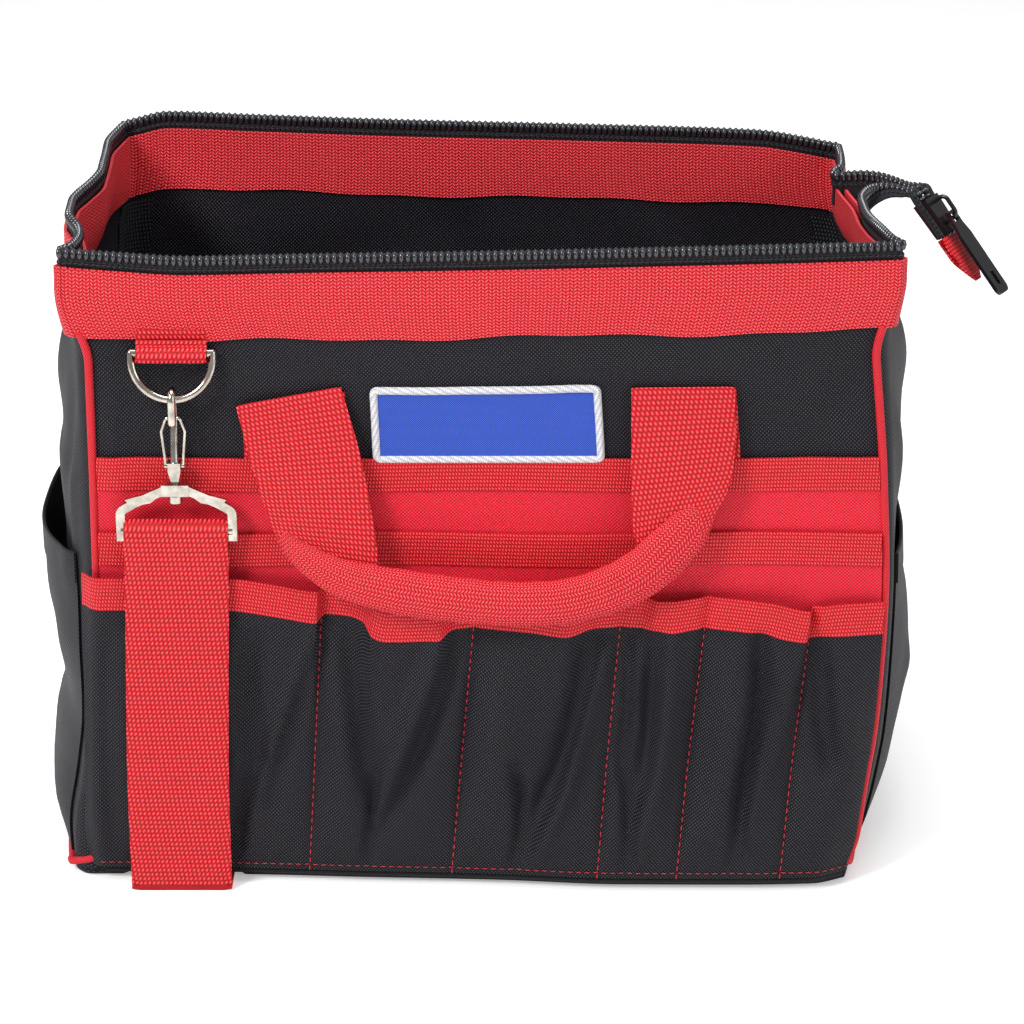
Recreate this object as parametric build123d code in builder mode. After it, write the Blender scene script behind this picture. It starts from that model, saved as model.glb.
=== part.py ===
from build123d import *
import math
import os

# Zippered tool bag, in millimetres. +Z is up, the front faces -Y, and the origin is the
# middle of the face that the bag stands on. The front of the bag is built first, and the
# pieces that the back repeats are mirrored from it.

os.makedirs("parts", exist_ok=True)

# --- Bag body ---------------------------------------------------------------------------
bag_depth = 210          # outside of the front panel to outside of the back panel
panel_width = 376        # width of the bag at its front and back panels
bulge_width = 400        # width at half depth, where the side panels bow out
corner_radius = 6        # upright corners, outside
wall = 3                 # padded wall
base_thick = 6           # padded base under the walls
wall_top = 308           # height of the walls' upper edge
board_thick = 2.5        # stiff board inside, on the base
board_gap = 0.4          # board to the tapes over the seams
piping = 4               # diameter of the piping
piping_sink = 0.8        # how far the piping's centre stands out of the wall
seam_binding_width = 18  # ribbed tape over the inner corner seams
seam_binding_thick = 0.8
seam_binding_gap = 0.1   # wall to the tape over its seam

# --- Cloth and webbing ------------------------------------------------------------------
webbing = 1.5            # thickness of the handles' and the strap's webbing
binding = 0.8            # thickness of the webbing folded over a pocket's edge
binding_width = 16       # how far a binding reaches down from a pocket's edge
fabric = 1.0             # pocket cloth
seat = 0.3               # clearance between pieces that move on each other

# --- Mouth: folded bands, zip tapes and zip chains ----------------------------------------
band_bottom = 284
band_height = 32
band_thick = 1.5
tape_thick = 1.2
chain_bottom = 319.5
chain_height = 6
chain_width = 3
free_tape_drop = 16      # width of the tape where it leaves the rim

# Plan of each tape: with the wall as far as rim_leave, then free to the tail. The front tape
# turns back on itself inside the mouth, and the two run side by side into the tail.
rim_leave = {"front": -72, "back": 86}
free_run = {"front": [(190, -8), (190.5, 32.3)], "back": [(182, 60), (196.5, 36.6)]}
free_radius = {"front": [30, 5], "back": [12, 20]}

# --- Zip tail, slider and pull ------------------------------------------------------------
slider_mouth = (222, 18, 313.5)
tail_drop = 50           # degrees that the tail runs down from level
tail_turn = 30           # degrees that the tail turns towards the front
slider_length = 20
slider_mouth_width = 15
slider_end_width = 12
slider_plate = 1.6
slider_cavity = 4.8      # between the two plates
slider_neck = (5, 2.4)
slider_neck_lead = 1     # mouth to the neck
slider_neck_round = 1.15
slider_rib_gap = 0.5     # chains to the slider's side ribs
tape_slot = 1.8          # height of the slots that the tapes run in
slider_run = 8           # travel up the tail
chain_split = 1.8        # half the gap between the two chains beside the neck
tail_chain_height = 3.6
tail_tape_reach = 10     # from the tail's middle to the edge of a tape
tail_lead = 3            # tail above the slider at the end of its run
tail_blend = 1           # how far a free stretch runs on into the tail
bridge_wire = 2.2
bridge_radius = 3
bridge_start = 3
bridge_end = 15
bridge_height = 6.6      # slider plate to the middle of the bridge's top
pull_width = 12
pull_neck_width = 9
pull_thick = 1.8
pull_length = 48
pull_eye = 4.4           # hole round the bridge
pull_slot = (9, 3.2)
pull_shoulder = (2, 8)   # where the pull widens, from the end of its eye
pull_end_round = 3.5
end_tab_length = 27
end_tab_thick = 3.4
end_tab_gap = 1          # slider to the tab
end_tab_grip = 7         # tapes held inside the tab
end_tab_straight = 9     # before the folded corners
end_tab_border = 1       # beyond the tapes' edges
end_tab_tip = 6

# --- Pockets ------------------------------------------------------------------------------
pocket_foot = 8
tall_pocket_top = 222.5
middle_pocket_top = 185
front_pocket_top = 160
pocket_bulge = 6
pocket_slope = 9         # plan width of a pleat's side
pleat_land = 2
pleat_radius = 2
stitch_lines = [-78, -8, 63, 104, 154]   # seams between the six front pockets
back_pocket_top = 170
back_stitch_lines = [0]
side_pocket_top = 168
side_pocket_bulge = 18
side_pocket_inset = 13   # front of the bag to the edge of a side pocket

# --- Patch, handles -----------------------------------------------------------------------
patch_width = 109
patch_height = 36
patch_x = 4
patch_thick = 1.2
patch_corner = 3
webbing_width = 50
handle_left_x = -88
handle_right_x = 98
handle_fold_z = 258
handle_lean = 11         # degrees off the wall, as the handle hangs
handle_drop = 109        # fold to the middle of the grip, down the slope
grip_width = 24
grip_thick = 13
grip_core_width = 17
grip_core_thick = 6.5
leg_end = 66             # where the left leg gathers into the grip, down the slope
leg_end_width = 32
left_leg_shift = 22      # sideways lean of the left leg
right_leg_shift = 6
leg_slant = 8            # how much lower the left leg ends on its outer side
right_leg_taper = (-18, 4, 14)   # right leg's outline: where it narrows, its end, its inner side
grip_left_turn = (12, 20)        # from the left leg's end, across and down
grip_right_turn = (2, 18)        # from the right leg's end
grip_level = (48, 38)            # from the left leg's end and the right leg to the level stretch
grip_radii = [26, 50, 44, 14]
fold_round = 1.1                 # fold's radius, in thicknesses of webbing

# --- D-ring, snap hook, bail ----------------------------------------------------------------
strap_x = -143           # middle of the ring, the hook and the strap
ring_wire = 4
ring_inside = 34
ring_reach = 22          # bar to the middle of the bow
ring_bar_z = 277
ring_tilt = 14
tab_width = 33
tab_bottom = 270
hook_wire = 4
hook_slack = 0.4
nose_length = 10
stem_length = 14
collar_z = 223
collar_stand_off = 10    # wall to the middle of the hook's collar
collar_size = 6
swivel_pin = 3.2
swivel_head = 6.6
swivel_head_height = 3.4
gate_wire = 1.4
gate_eye = 2.4            # outside diameter of the eye at each foot of the gate
gate_width = 12.6
gate_foot_width = 8
gate_stand_off = 0.4
gate_bulge = 0.72        # where the gate is widest, as a part of its length
gate_radii = [4, 2, 2, 4]
bail_top_z = 214
bail_block = (13, 6.5, 5.6)
bail_bar_z = 190
bail_bar = 4.4
bail_leg = 4.2
bail_thick = 2.6
bail_foot_z = 185
bail_shoulder = (20, 204)   # where an arm turns down, from the middle of the bail
bail_elbow_z = 200
bail_radii = [6, 3.5]
bail_clear = 0.42        # strap's edge to a leg
bail_web = [(6, -3), (9, -7.2), (12, -9.6), (17, -10.6), (22, -10.8), (24, -8)]   # scalloped web under an arm, from the bail's top

# --- Shoulder strap -------------------------------------------------------------------------
strap_width = 48
strap_ply = 1.55
strap_bend_z = 163       # below this the strap hangs straight down
strap_bend_radius = 30
strap_stand_off = 14.2   # wall to the middle of the hanging strap
adjuster_z = 96
adjuster_height = 30
adjuster_rail = 5
adjuster_thick = 2.6
adjuster_side = 4
adjuster_clear = 0.45    # strap's edge to a side bar
weave_slack = (0.5, 1.3) # how far the weave's bends stand off the outer and middle rails
weave_radius = 1
channel_clear = 2        # strap's edge to the side of its channel

half_depth = bag_depth / 2
side_pocket_half = half_depth - side_pocket_inset
collar_y = half_depth + collar_stand_off
strap_front_y = half_depth + strap_stand_off
wall_height = wall_top - base_thick
strap_thick = 2 * strap_ply
seam_binding_depth = seam_binding_gap + seam_binding_thick


def save(piece, name):
    """Label a finished piece and write it to its own file."""
    piece.part.label = name
    export_step(piece.part, f"parts/{name}.step")


def bag_outline(grow=0.0):
    """The bag's plan: straight front and back, bowed sides and round corners."""
    with BuildSketch(mode=Mode.PRIVATE) as plan:
        with BuildLine():
            front = Line((-panel_width / 2, -half_depth), (panel_width / 2, -half_depth))
            right = ThreePointArc(front @ 1, (bulge_width / 2, 0), (panel_width / 2, half_depth))
            back = Line(right @ 1, (-panel_width / 2, half_depth))
            ThreePointArc(back @ 1, (-bulge_width / 2, 0), front @ 0)
        make_face()
        fillet(plan.vertices(), corner_radius)
        if grow:
            offset(amount=grow)
    return plan.sketch


outside = bag_outline()
inside = bag_outline(-wall)
seam_x = outside.edges().sort_by(Axis.Y)[0].length / 2
pocket_half = seam_x - piping / 2 - seat

with BuildPart() as bag_envelope:
    with BuildSketch():
        add(outside)
    extrude(amount=wall_top)

# The strap lies under the base in a shallow channel that it presses into the padding.
strap_channel = Box(
    strap_width + 2 * channel_clear, bag_depth + 4 * piping, strap_thick + seat,
    align=(Align.CENTER, Align.CENTER, Align.MIN), mode=Mode.PRIVATE,
).moved(Location((strap_x, 0, 0)))

# --- Base -----------------------------------------------------------------------------------
with BuildPart() as base_panel:
    with BuildSketch():
        add(outside)
    extrude(amount=base_thick)
    add(strap_channel, mode=Mode.SUBTRACT)
save(base_panel, "base_panel")

with BuildPart() as base_board:
    with BuildSketch(Plane.XY.offset(base_thick)):
        add(bag_outline(-wall - seam_binding_depth - board_gap))
    extrude(amount=board_thick)
save(base_board, "base_board")

# --- Walls: the ring between the two outlines, cut at the four corner seams -------------------
wall_plane = Plane.XY.offset(base_thick)
far = bulge_width
wall_cuts = {
    "front_panel": ((0, -half_depth), (2 * seam_x, bag_depth)),
    "back_panel": ((0, half_depth), (2 * seam_x, bag_depth)),
    "left_side_panel": ((-seam_x - far / 2, 0), (far, 2 * bag_depth)),
    "right_side_panel": ((seam_x + far / 2, 0), (far, 2 * bag_depth)),
}
for name, (centre, size) in wall_cuts.items():
    with BuildPart() as wall_panel:
        with BuildSketch(wall_plane):
            add(outside)
            add(inside, mode=Mode.SUBTRACT)
            with Locations(centre):
                Rectangle(*size, mode=Mode.INTERSECT)
        extrude(amount=wall_height)
    save(wall_panel, name)

# Ribbed tape over the raw edges of the four corner seams, inside.
with BuildPart() as inner_seam_bindings:
    with BuildSketch(wall_plane):
        add(bag_outline(-wall - seam_binding_gap))
        add(bag_outline(-wall - seam_binding_depth), mode=Mode.SUBTRACT)
        with GridLocations(2 * seam_x, bag_depth - 2 * wall, 2, 2):
            Rectangle(seam_binding_width, seam_binding_width, mode=Mode.INTERSECT)
    extrude(amount=band_bottom - seat - base_thick)
save(inner_seam_bindings, "inner_seam_bindings")

# --- Piping ---------------------------------------------------------------------------------
piping_line = bag_outline(piping_sink)
piping_y = half_depth + piping_sink
for name, side in (("left_side_piping", -1), ("right_side_piping", 1)):
    side_edges = piping_line.edges().filter_by(lambda edge: side * edge.center().X > seam_x)
    path = Wire(side_edges).moved(Location((0, 0, base_thick)))
    with BuildPart() as side_piping:
        with BuildSketch(Plane(origin=path @ 0, z_dir=path % 0)):
            Circle(piping / 2)
        sweep(path=path)
        for end in (-1, 1):
            corner = (side * seam_x, end * piping_y, base_thick)
            with BuildSketch(Plane(origin=corner)):
                Circle(piping / 2)
            extrude(amount=band_bottom - seat - base_thick)
            with Locations(corner):
                Sphere(piping / 2)
        add(bag_envelope.part, mode=Mode.SUBTRACT)
    save(side_piping, name)

with BuildPart() as base_piping:
    for end in (-1, 1):
        with Locations((0, end * piping_y, base_thick)):
            Cylinder(piping / 2, 2 * (seam_x - piping / 2), rotation=(0, 90, 0))
    add(bag_envelope.part, mode=Mode.SUBTRACT)
save(base_piping, "base_piping")

# --- Rim bands: webbing folded over the walls' upper edge, outside and inside -------------------
rim_bands = {
    "rim_band_outer": (bag_outline(band_thick), outside),
    "rim_band_inner": (inside, bag_outline(-wall - band_thick)),
}
with BuildPart() as rim_body:
    with BuildSketch():
        add(outside)
        add(inside, mode=Mode.SUBTRACT)
    extrude(amount=wall_top)
for name, (outer, inner) in rim_bands.items():
    with BuildPart() as rim_band:
        with BuildSketch(Plane.XY.offset(band_bottom)):
            add(outer)
            add(inner, mode=Mode.SUBTRACT)
        extrude(amount=band_height)
    save(rim_band, name)
    with rim_body:
        add(rim_band.part)

# --- Zip tail: the end of the zip, which hangs off the bag's right end ---------------------------
drop = math.radians(tail_drop)
turn = math.radians(tail_turn)
tail_plane = Plane(
    origin=slider_mouth,
    x_dir=(math.cos(drop) * math.cos(turn), -math.cos(drop) * math.sin(turn), -math.sin(drop)),
    z_dir=(math.sin(drop) * math.cos(turn), -math.sin(drop) * math.sin(turn), math.cos(drop)),
)
tail_start = -slider_run - tail_lead
chain_outer = chain_split + chain_width
slider_side = slider_mouth_width / 2
tape_gap = tape_slot / 2
tab_near = slider_length + end_tab_gap

zip_side = {"front": -1, "back": 1}
right_wall_line = bag_outline(-wall / 2).edges().sort_by(Axis.X)[-1]
zip_pieces = {
    "zip_tape": (tape_thick, wall_top, chain_bottom),
    "zip_chain": (chain_width, chain_bottom, chain_bottom + chain_height),
}


def zip_half(piece, end):
    """One tape or chain: its rim stretch, its free stretch and its half of the tail."""
    width, bottom, top = zip_pieces[piece]
    side = zip_side[end]
    leave = right_wall_line.intersect(Axis((0, rim_leave[end], 0), (1, 0, 0)))[0]
    if piece == "zip_tape":
        free_bottom = top - free_tape_drop
        stop = tail_plane.from_local_coords((-slider_run / 2, side * (slider_side + tape_thick), 0))
        near, reach, thick = chain_outer, tail_tape_reach, tape_thick
        tail_end = tab_near + end_tab_grip
    else:
        free_bottom = bottom
        stop = tail_plane.from_local_coords(
            (tail_start + tail_blend, side * (chain_split + chain_outer) / 2, 0)
        )
        near, reach, thick = chain_split, chain_outer, tail_chain_height
        tail_end = tab_near
    with BuildPart() as half:
        with BuildSketch(Plane.XY.offset(free_bottom)):
            with BuildLine():
                FilletPolyline(
                    (leave.X, leave.Y), *free_run[end], (stop.X, stop.Y), radius=free_radius[end]
                )
            trace(line_width=width)
        extrude(amount=top - free_bottom)
        add(rim_body.part, mode=Mode.SUBTRACT)
        with BuildSketch(Plane.XY.offset(bottom)):
            add(bag_outline((width - wall) / 2))
            add(bag_outline((-width - wall) / 2), mode=Mode.SUBTRACT)
            with Locations((0, side * half_depth)):
                Rectangle(2 * far, bag_depth, mode=Mode.INTERSECT)
            with Locations((seam_x + far / 2, leave.Y - side * far / 2)):
                Rectangle(far, far, mode=Mode.SUBTRACT)
        extrude(amount=top - bottom)
        with BuildSketch(tail_plane):
            with Locations(((tail_start + tail_end) / 2, side * (near + reach) / 2)):
                Rectangle(tail_end - tail_start, reach - near)
        extrude(amount=thick / 2, both=True)
    return half


for piece in zip_pieces:
    for end in zip_side:
        save(zip_half(piece, end), f"{piece}_{end}")

# --- Slider: two plates joined by a neck between the chains, with a bridge for the pull ----------
slider_half = slider_cavity / 2
rib_inside = chain_outer + slider_rib_gap
with BuildPart() as zip_slider:
    for face in (-1, 1):
        with BuildSketch(tail_plane.offset(face * slider_half)):
            with BuildLine():
                Polyline(
                    (0, -slider_side),
                    (slider_length, -slider_end_width / 2),
                    (slider_length, slider_end_width / 2),
                    (0, slider_side),
                    close=True,
                )
            make_face()
        extrude(amount=face * slider_plate)
    for side in (-1, 1):
        for face in (-1, 1):
            with BuildSketch(tail_plane.offset(face * tape_gap)):
                with BuildLine():
                    Polyline(
                        (0, side * slider_side),
                        (slider_length, side * slider_end_width / 2),
                        (slider_length, side * rib_inside),
                        (0, side * rib_inside),
                        close=True,
                    )
                make_face()
            extrude(amount=face * (slider_half - tape_gap))
    with BuildSketch(tail_plane):
        with Locations((slider_neck_lead + slider_neck[0] / 2, 0)):
            RectangleRounded(*slider_neck, slider_neck_round)
    extrude(amount=slider_half, both=True)
    bridge_foot = slider_half + slider_plate
    bridge_top = bridge_foot + bridge_height
    bridge_plane = Plane(origin=tail_plane.origin, x_dir=tail_plane.x_dir, z_dir=-tail_plane.y_dir)
    with BuildLine(bridge_plane) as bridge:
        FilletPolyline(
            (bridge_start, bridge_foot - slider_plate / 2),
            (bridge_start, bridge_top),
            (bridge_end, bridge_top),
            (bridge_end, bridge_foot - slider_plate / 2),
            radius=bridge_radius,
        )
    with BuildSketch(Plane(origin=bridge.line @ 0, z_dir=tail_plane.z_dir)):
        Circle(bridge_wire / 2)
    sweep(path=bridge.wire())
save(zip_slider, "zip_slider")

# The pull's eye turns about the middle of the bridge's rounded corner.
pull_pivot_x = bridge_end - bridge_radius
pull_pivot_z = bridge_top - bridge_radius
pull_plane = Plane(
    origin=tail_plane.from_local_coords((pull_pivot_x, 0, pull_pivot_z)),
    x_dir=tail_plane.x_dir,
    z_dir=tail_plane.z_dir,
)
eye_end = pull_thick / 2 + pull_eye
neck_end, shoulder_end = (eye_end + step for step in pull_shoulder)
with BuildPart() as zip_pull:
    with BuildSketch(pull_plane) as pull_outline:
        with BuildLine():
            Polyline(
                (0, -pull_neck_width / 2),
                (neck_end, -pull_neck_width / 2),
                (shoulder_end, -pull_width / 2),
                (pull_length, -pull_width / 2),
                (pull_length, pull_width / 2),
                (shoulder_end, pull_width / 2),
                (neck_end, pull_neck_width / 2),
                (0, pull_neck_width / 2),
                close=True,
            )
        make_face()
        with Locations((pull_thick / 4 + eye_end / 2, 0)):
            Rectangle(pull_eye, pull_eye, mode=Mode.SUBTRACT)
        with Locations((pull_length - pull_slot[0], 0)):
            SlotOverall(pull_slot[0], pull_slot[1], mode=Mode.SUBTRACT)
        fillet(pull_outline.vertices().sort_by(Axis.X)[-2:], pull_end_round)
    extrude(amount=pull_thick / 2, both=True)
    with BuildSketch(Plane(origin=pull_plane.origin, z_dir=pull_plane.y_dir)):
        Circle(pull_thick / 2)
    extrude(amount=pull_neck_width / 2, both=True)
save(zip_pull, "zip_pull")

# A tab folded over the tapes' ends, narrowing to a blunt tip.
tab_half = tail_tape_reach + end_tab_border
with BuildPart() as zip_end_tab:
    with BuildSketch(tail_plane):
        with BuildLine():
            Polyline(
                (tab_near, -tab_half),
                (tab_near + end_tab_straight, -tab_half),
                (tab_near + end_tab_length, -end_tab_tip / 2),
                (tab_near + end_tab_length, end_tab_tip / 2),
                (tab_near + end_tab_straight, tab_half),
                (tab_near, tab_half),
                close=True,
            )
        make_face()
    extrude(amount=end_tab_thick / 2, both=True)
    for side in (-1, 1):
        with BuildSketch(tail_plane):
            with Locations((tab_near + end_tab_grip / 2, side * (chain_outer + tail_tape_reach) / 2)):
                Rectangle(end_tab_grip, tail_tape_reach - chain_outer)
        extrude(amount=tape_thick / 2, both=True, mode=Mode.SUBTRACT)
save(zip_end_tab, "zip_end_tab")

# --- Pockets ----------------------------------------------------------------------------------
# Flat layers lie one on another, each held off the one behind by the binding of its own edge.
tall_y = half_depth + binding
middle_y = tall_y + fabric + binding
front_y = middle_y + fabric + binding


def flat_pocket(y, top):
    """A flat pocket layer from the base seam to its top edge."""
    with BuildPart() as layer:
        with Locations((0, -y - fabric / 2, pocket_foot)):
            Box(2 * pocket_half, fabric, top - pocket_foot, align=(Align.CENTER, Align.CENTER, Align.MIN))
    return layer


def flat_binding(y, top, layer):
    """Webbing folded over a flat layer's top edge."""
    with BuildPart() as fold:
        with Locations((0, -y - fabric / 2, top + binding)):
            Box(
                2 * pocket_half, fabric + 2 * binding, binding_width,
                align=(Align.CENTER, Align.CENTER, Align.MAX),
            )
        add(layer.part, mode=Mode.SUBTRACT)
    return fold


for name, y, top in (("tall", tall_y, tall_pocket_top), ("middle", middle_y, middle_pocket_top)):
    layer = flat_pocket(y, top)
    save(layer, f"{name}_pocket_panel")
    save(flat_binding(y, top, layer), f"{name}_pocket_binding")


def pleat_run(y, stitches):
    """Points of a pleated layer's middle line: flat at each stitch line, bulged between."""
    seams = [-pocket_half, *stitches, pocket_half]
    points = [(seams[0], -y)]
    for start, stop in zip(seams, seams[1:]):
        points.append((start + pleat_land / 2, -y))
        points.append((start + pleat_land / 2 + pocket_slope, -y - pocket_bulge))
        points.append((stop - pleat_land / 2 - pocket_slope, -y - pocket_bulge))
        points.append((stop - pleat_land / 2, -y))
    points.append((seams[-1], -y))
    return points


def pleated_ribbon(y, stitches, width, bottom, top):
    """A wall of the given width that follows the pleats."""
    with BuildPart(mode=Mode.PRIVATE) as ribbon:
        with BuildSketch(Plane.XY.offset(bottom)):
            with BuildLine():
                FilletPolyline(*pleat_run(y, stitches), radius=pleat_radius)
            trace(line_width=width)
        extrude(amount=top - bottom)
    return ribbon.part


def pleated_pocket(y, stitches, top):
    """A pleated layer with its folded foot, and the binding over its top edge."""
    with BuildPart() as layer:
        add(pleated_ribbon(y, stitches, fabric, pocket_foot, top))
        run = pleat_run(y, stitches)
        with BuildSketch(Plane.XY.offset(pocket_foot)):
            for first in range(1, len(run) - 1, 4):
                with BuildLine():
                    Polyline(*run[first : first + 4], close=True)
                make_face()
        extrude(amount=fabric)
    with BuildPart() as fold:
        add(pleated_ribbon(y, stitches, fabric + 2 * binding, top + binding - binding_width, top + binding))
        add(pleated_ribbon(y, stitches, fabric, pocket_foot, top), mode=Mode.SUBTRACT)
    return layer, fold


front_layer, front_fold = pleated_pocket(front_y + fabric / 2, stitch_lines, front_pocket_top)
save(front_layer, "front_pocket_panel")
save(front_fold, "front_pocket_binding")

back_layer, back_fold = pleated_pocket(tall_y + fabric / 2, back_stitch_lines, back_pocket_top)
for piece, name in ((back_layer, "back_pocket_panel"), (back_fold, "back_pocket_binding")):
    with BuildPart() as mirrored:
        mirror(piece.part, about=Plane.XZ)
    save(mirrored, name)


def right_edge_x(y):
    """How far the right-hand wall reaches out at a distance y from the bag's middle."""
    side_edge = outside.edges().sort_by(Axis.X)[-1]
    return side_edge.intersect(Axis((0, y, 0), (1, 0, 0)))[0].X


def side_pocket_strip(width, bottom, top):
    """A wall of the given width along a side pocket's plan, bowed out from the right-hand side."""
    edge_x = right_edge_x(side_pocket_half) + fabric / 2 + binding
    with BuildPart(mode=Mode.PRIVATE) as strip:
        with BuildSketch(Plane.XY.offset(bottom)):
            with BuildLine():
                ThreePointArc(
                    (edge_x, -side_pocket_half),
                    (bulge_width / 2 + side_pocket_bulge, 0),
                    (edge_x, side_pocket_half),
                )
            trace(line_width=width)
        extrude(amount=top - bottom)
    return strip.part


for name, side in (("left", -1), ("right", 1)):
    top_strip = side_pocket_strip(
        fabric + 2 * binding, side_pocket_top + binding - binding_width, side_pocket_top + binding
    )
    strip = side_pocket_strip(fabric, pocket_foot, side_pocket_top)
    with BuildPart() as side_pocket:
        add(strip)
        with BuildSketch(Plane.XY.offset(pocket_foot)):
            with BuildLine():
                ends = side_pocket.part.edges().group_by(Axis.Z)[0]
                outer_edge = ends.sort_by(Axis.X)[-1]
                add(outer_edge)
                Line(outer_edge @ 1, outer_edge @ 0)
            make_face()
        extrude(amount=fabric)
        add(bag_envelope.part, mode=Mode.SUBTRACT)
    with BuildPart() as side_hem:
        add(top_strip)
        add(strip, mode=Mode.SUBTRACT)
        add(bag_envelope.part, mode=Mode.SUBTRACT)
    for piece, kind in ((side_pocket, "panel"), (side_hem, "binding")):
        with BuildPart() as sided:
            if side > 0:
                add(piece.part)
            else:
                mirror(piece.part, about=Plane.YZ)
        save(sided, f"{name}_side_pocket_{kind}")

# --- Patch ------------------------------------------------------------------------------------
above_tall_pocket = tall_pocket_top + binding
patch_plane = Plane(origin=(patch_x, -half_depth, above_tall_pocket), x_dir=(1, 0, 0), z_dir=(0, -1, 0))
with BuildPart() as front_patch:
    with BuildSketch(patch_plane):
        with Locations((0, patch_height / 2)):
                RectangleRounded(patch_width, patch_height, patch_corner)
    extrude(amount=patch_thick)
save(front_patch, "front_patch")


def hanging_plane(x, y, z, lean):
    """A plane whose +X is the bag's and whose +Y runs down a piece that leans off the front."""
    tilt = math.radians(lean)
    return Plane(origin=(x, -y, z), x_dir=(1, 0, 0), z_dir=(0, math.cos(tilt), -math.sin(tilt)))


def save_both(piece, kind):
    """Write a piece of the front and its mirror image at the back."""
    save(piece, f"front_{kind}")
    with BuildPart() as mirrored:
        mirror(piece.part, about=Plane.XZ)
    save(mirrored, f"back_{kind}")


# --- Handles ----------------------------------------------------------------------------------
fold_radius = fold_round * webbing
handle_axis_y = half_depth + 1.5 * webbing + seat
anchor_top = handle_fold_z - fold_radius - seat
with BuildPart() as handle_anchors:
    for x in (handle_left_x, handle_right_x):
        with Locations((x, -half_depth - webbing / 2, above_tall_pocket)):
            Box(
                webbing_width, webbing, anchor_top - above_tall_pocket,
                align=(Align.CENTER, Align.CENTER, Align.MIN),
            )
save_both(handle_anchors, "handle_anchors")

handle_plane = hanging_plane(0, handle_axis_y, handle_fold_z, handle_lean)
half_web = webbing_width / 2
half_end = leg_end_width / 2
left_end = handle_left_x + left_leg_shift
right_end = handle_right_x + right_leg_shift
with BuildLine(handle_plane) as grip_line:
    FilletPolyline(
        (left_end, leg_end),
        (left_end + grip_left_turn[0], leg_end + grip_left_turn[1]),
        (left_end + grip_level[0], handle_drop),
        (handle_right_x - grip_level[1], handle_drop),
        (right_end - grip_right_turn[0], leg_end + grip_right_turn[1]),
        (right_end, leg_end),
        radius=grip_radii,
    )
grip_path = grip_line.wire()
grip_start = Plane(origin=grip_path @ 0, x_dir=handle_plane.z_dir, z_dir=grip_path % 0)
with BuildPart() as handle_webbing:
    with BuildSketch(handle_plane):
        with BuildLine():
            Polyline(
                (handle_left_x - half_web, 0),
                (handle_left_x + half_web, 0),
                (left_end + half_end, leg_end),
                (left_end - half_end, leg_end + leg_slant),
                close=True,
            )
        make_face()
        with BuildLine():
            Polyline(
                (handle_right_x - half_web, 0),
                (handle_right_x + half_web, 0),
                (handle_right_x + half_web, leg_end + right_leg_taper[0]),
                (right_end + grip_core_width / 2, leg_end + right_leg_taper[1]),
                (handle_right_x - half_web, leg_end + right_leg_taper[2]),
                close=True,
            )
        make_face()
    extrude(amount=webbing / 2, both=True)
    with Locations(
        (handle_left_x, -handle_axis_y, handle_fold_z), (handle_right_x, -handle_axis_y, handle_fold_z)
    ):
        Cylinder(fold_radius, webbing_width, rotation=(0, 90, 0))
    with BuildSketch(grip_start):
        Ellipse(grip_core_thick / 2, grip_core_width / 2)
    sweep(path=grip_path)
save_both(handle_webbing, "handle_webbing")

with BuildPart() as handle_grip:
    with BuildSketch(grip_start):
        Ellipse(grip_thick / 2, grip_width / 2)
    sweep(path=grip_path)
    add(handle_webbing.part, mode=Mode.SUBTRACT)
save_both(handle_grip, "handle_grip")

# --- D-ring and its tab -------------------------------------------------------------------------
ring_bar_y = half_depth + webbing + seat + ring_wire / 2
ring_plane = hanging_plane(strap_x, ring_bar_y, ring_bar_z, ring_tilt)
ring_half = (ring_inside + ring_wire) / 2
with BuildPart() as d_ring:
    with BuildLine(ring_plane) as bow:
        Line((-ring_half, 0), (-ring_half, ring_reach - ring_half))
        ThreePointArc(
            (-ring_half, ring_reach - ring_half),
            (0, ring_reach),
            (ring_half, ring_reach - ring_half),
        )
        Line((ring_half, ring_reach - ring_half), (ring_half, 0))
    bow_path = bow.wire()
    with BuildSketch(Plane(origin=bow_path @ 0, z_dir=bow_path % 0)):
        Circle(ring_wire / 2)
    sweep(path=bow_path)
    with Locations((strap_x, -ring_bar_y, ring_bar_z)):
        Cylinder(ring_wire / 2, 2 * ring_half, rotation=(0, 90, 0))
    with Locations(bow_path @ 0, bow_path @ 1):
        Sphere(ring_wire / 2)
save_both(d_ring, "d_ring")

side_view = Plane(origin=(strap_x, 0, 0), x_dir=(0, 1, 0), z_dir=(1, 0, 0))
with BuildPart() as ring_tab:
    with BuildSketch(side_view):
        with Locations((-ring_bar_y, ring_bar_z)):
            Circle(ring_wire / 2 + seat + webbing)
        with Locations((-half_depth - webbing / 2, (tab_bottom + band_bottom) / 2)):
            Rectangle(webbing, band_bottom - tab_bottom)
        with Locations((-ring_bar_y, ring_bar_z)):
            Circle(ring_wire / 2 + seat, mode=Mode.SUBTRACT)
    extrude(amount=tab_width / 2, both=True)
save_both(ring_tab, "ring_tab")

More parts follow.
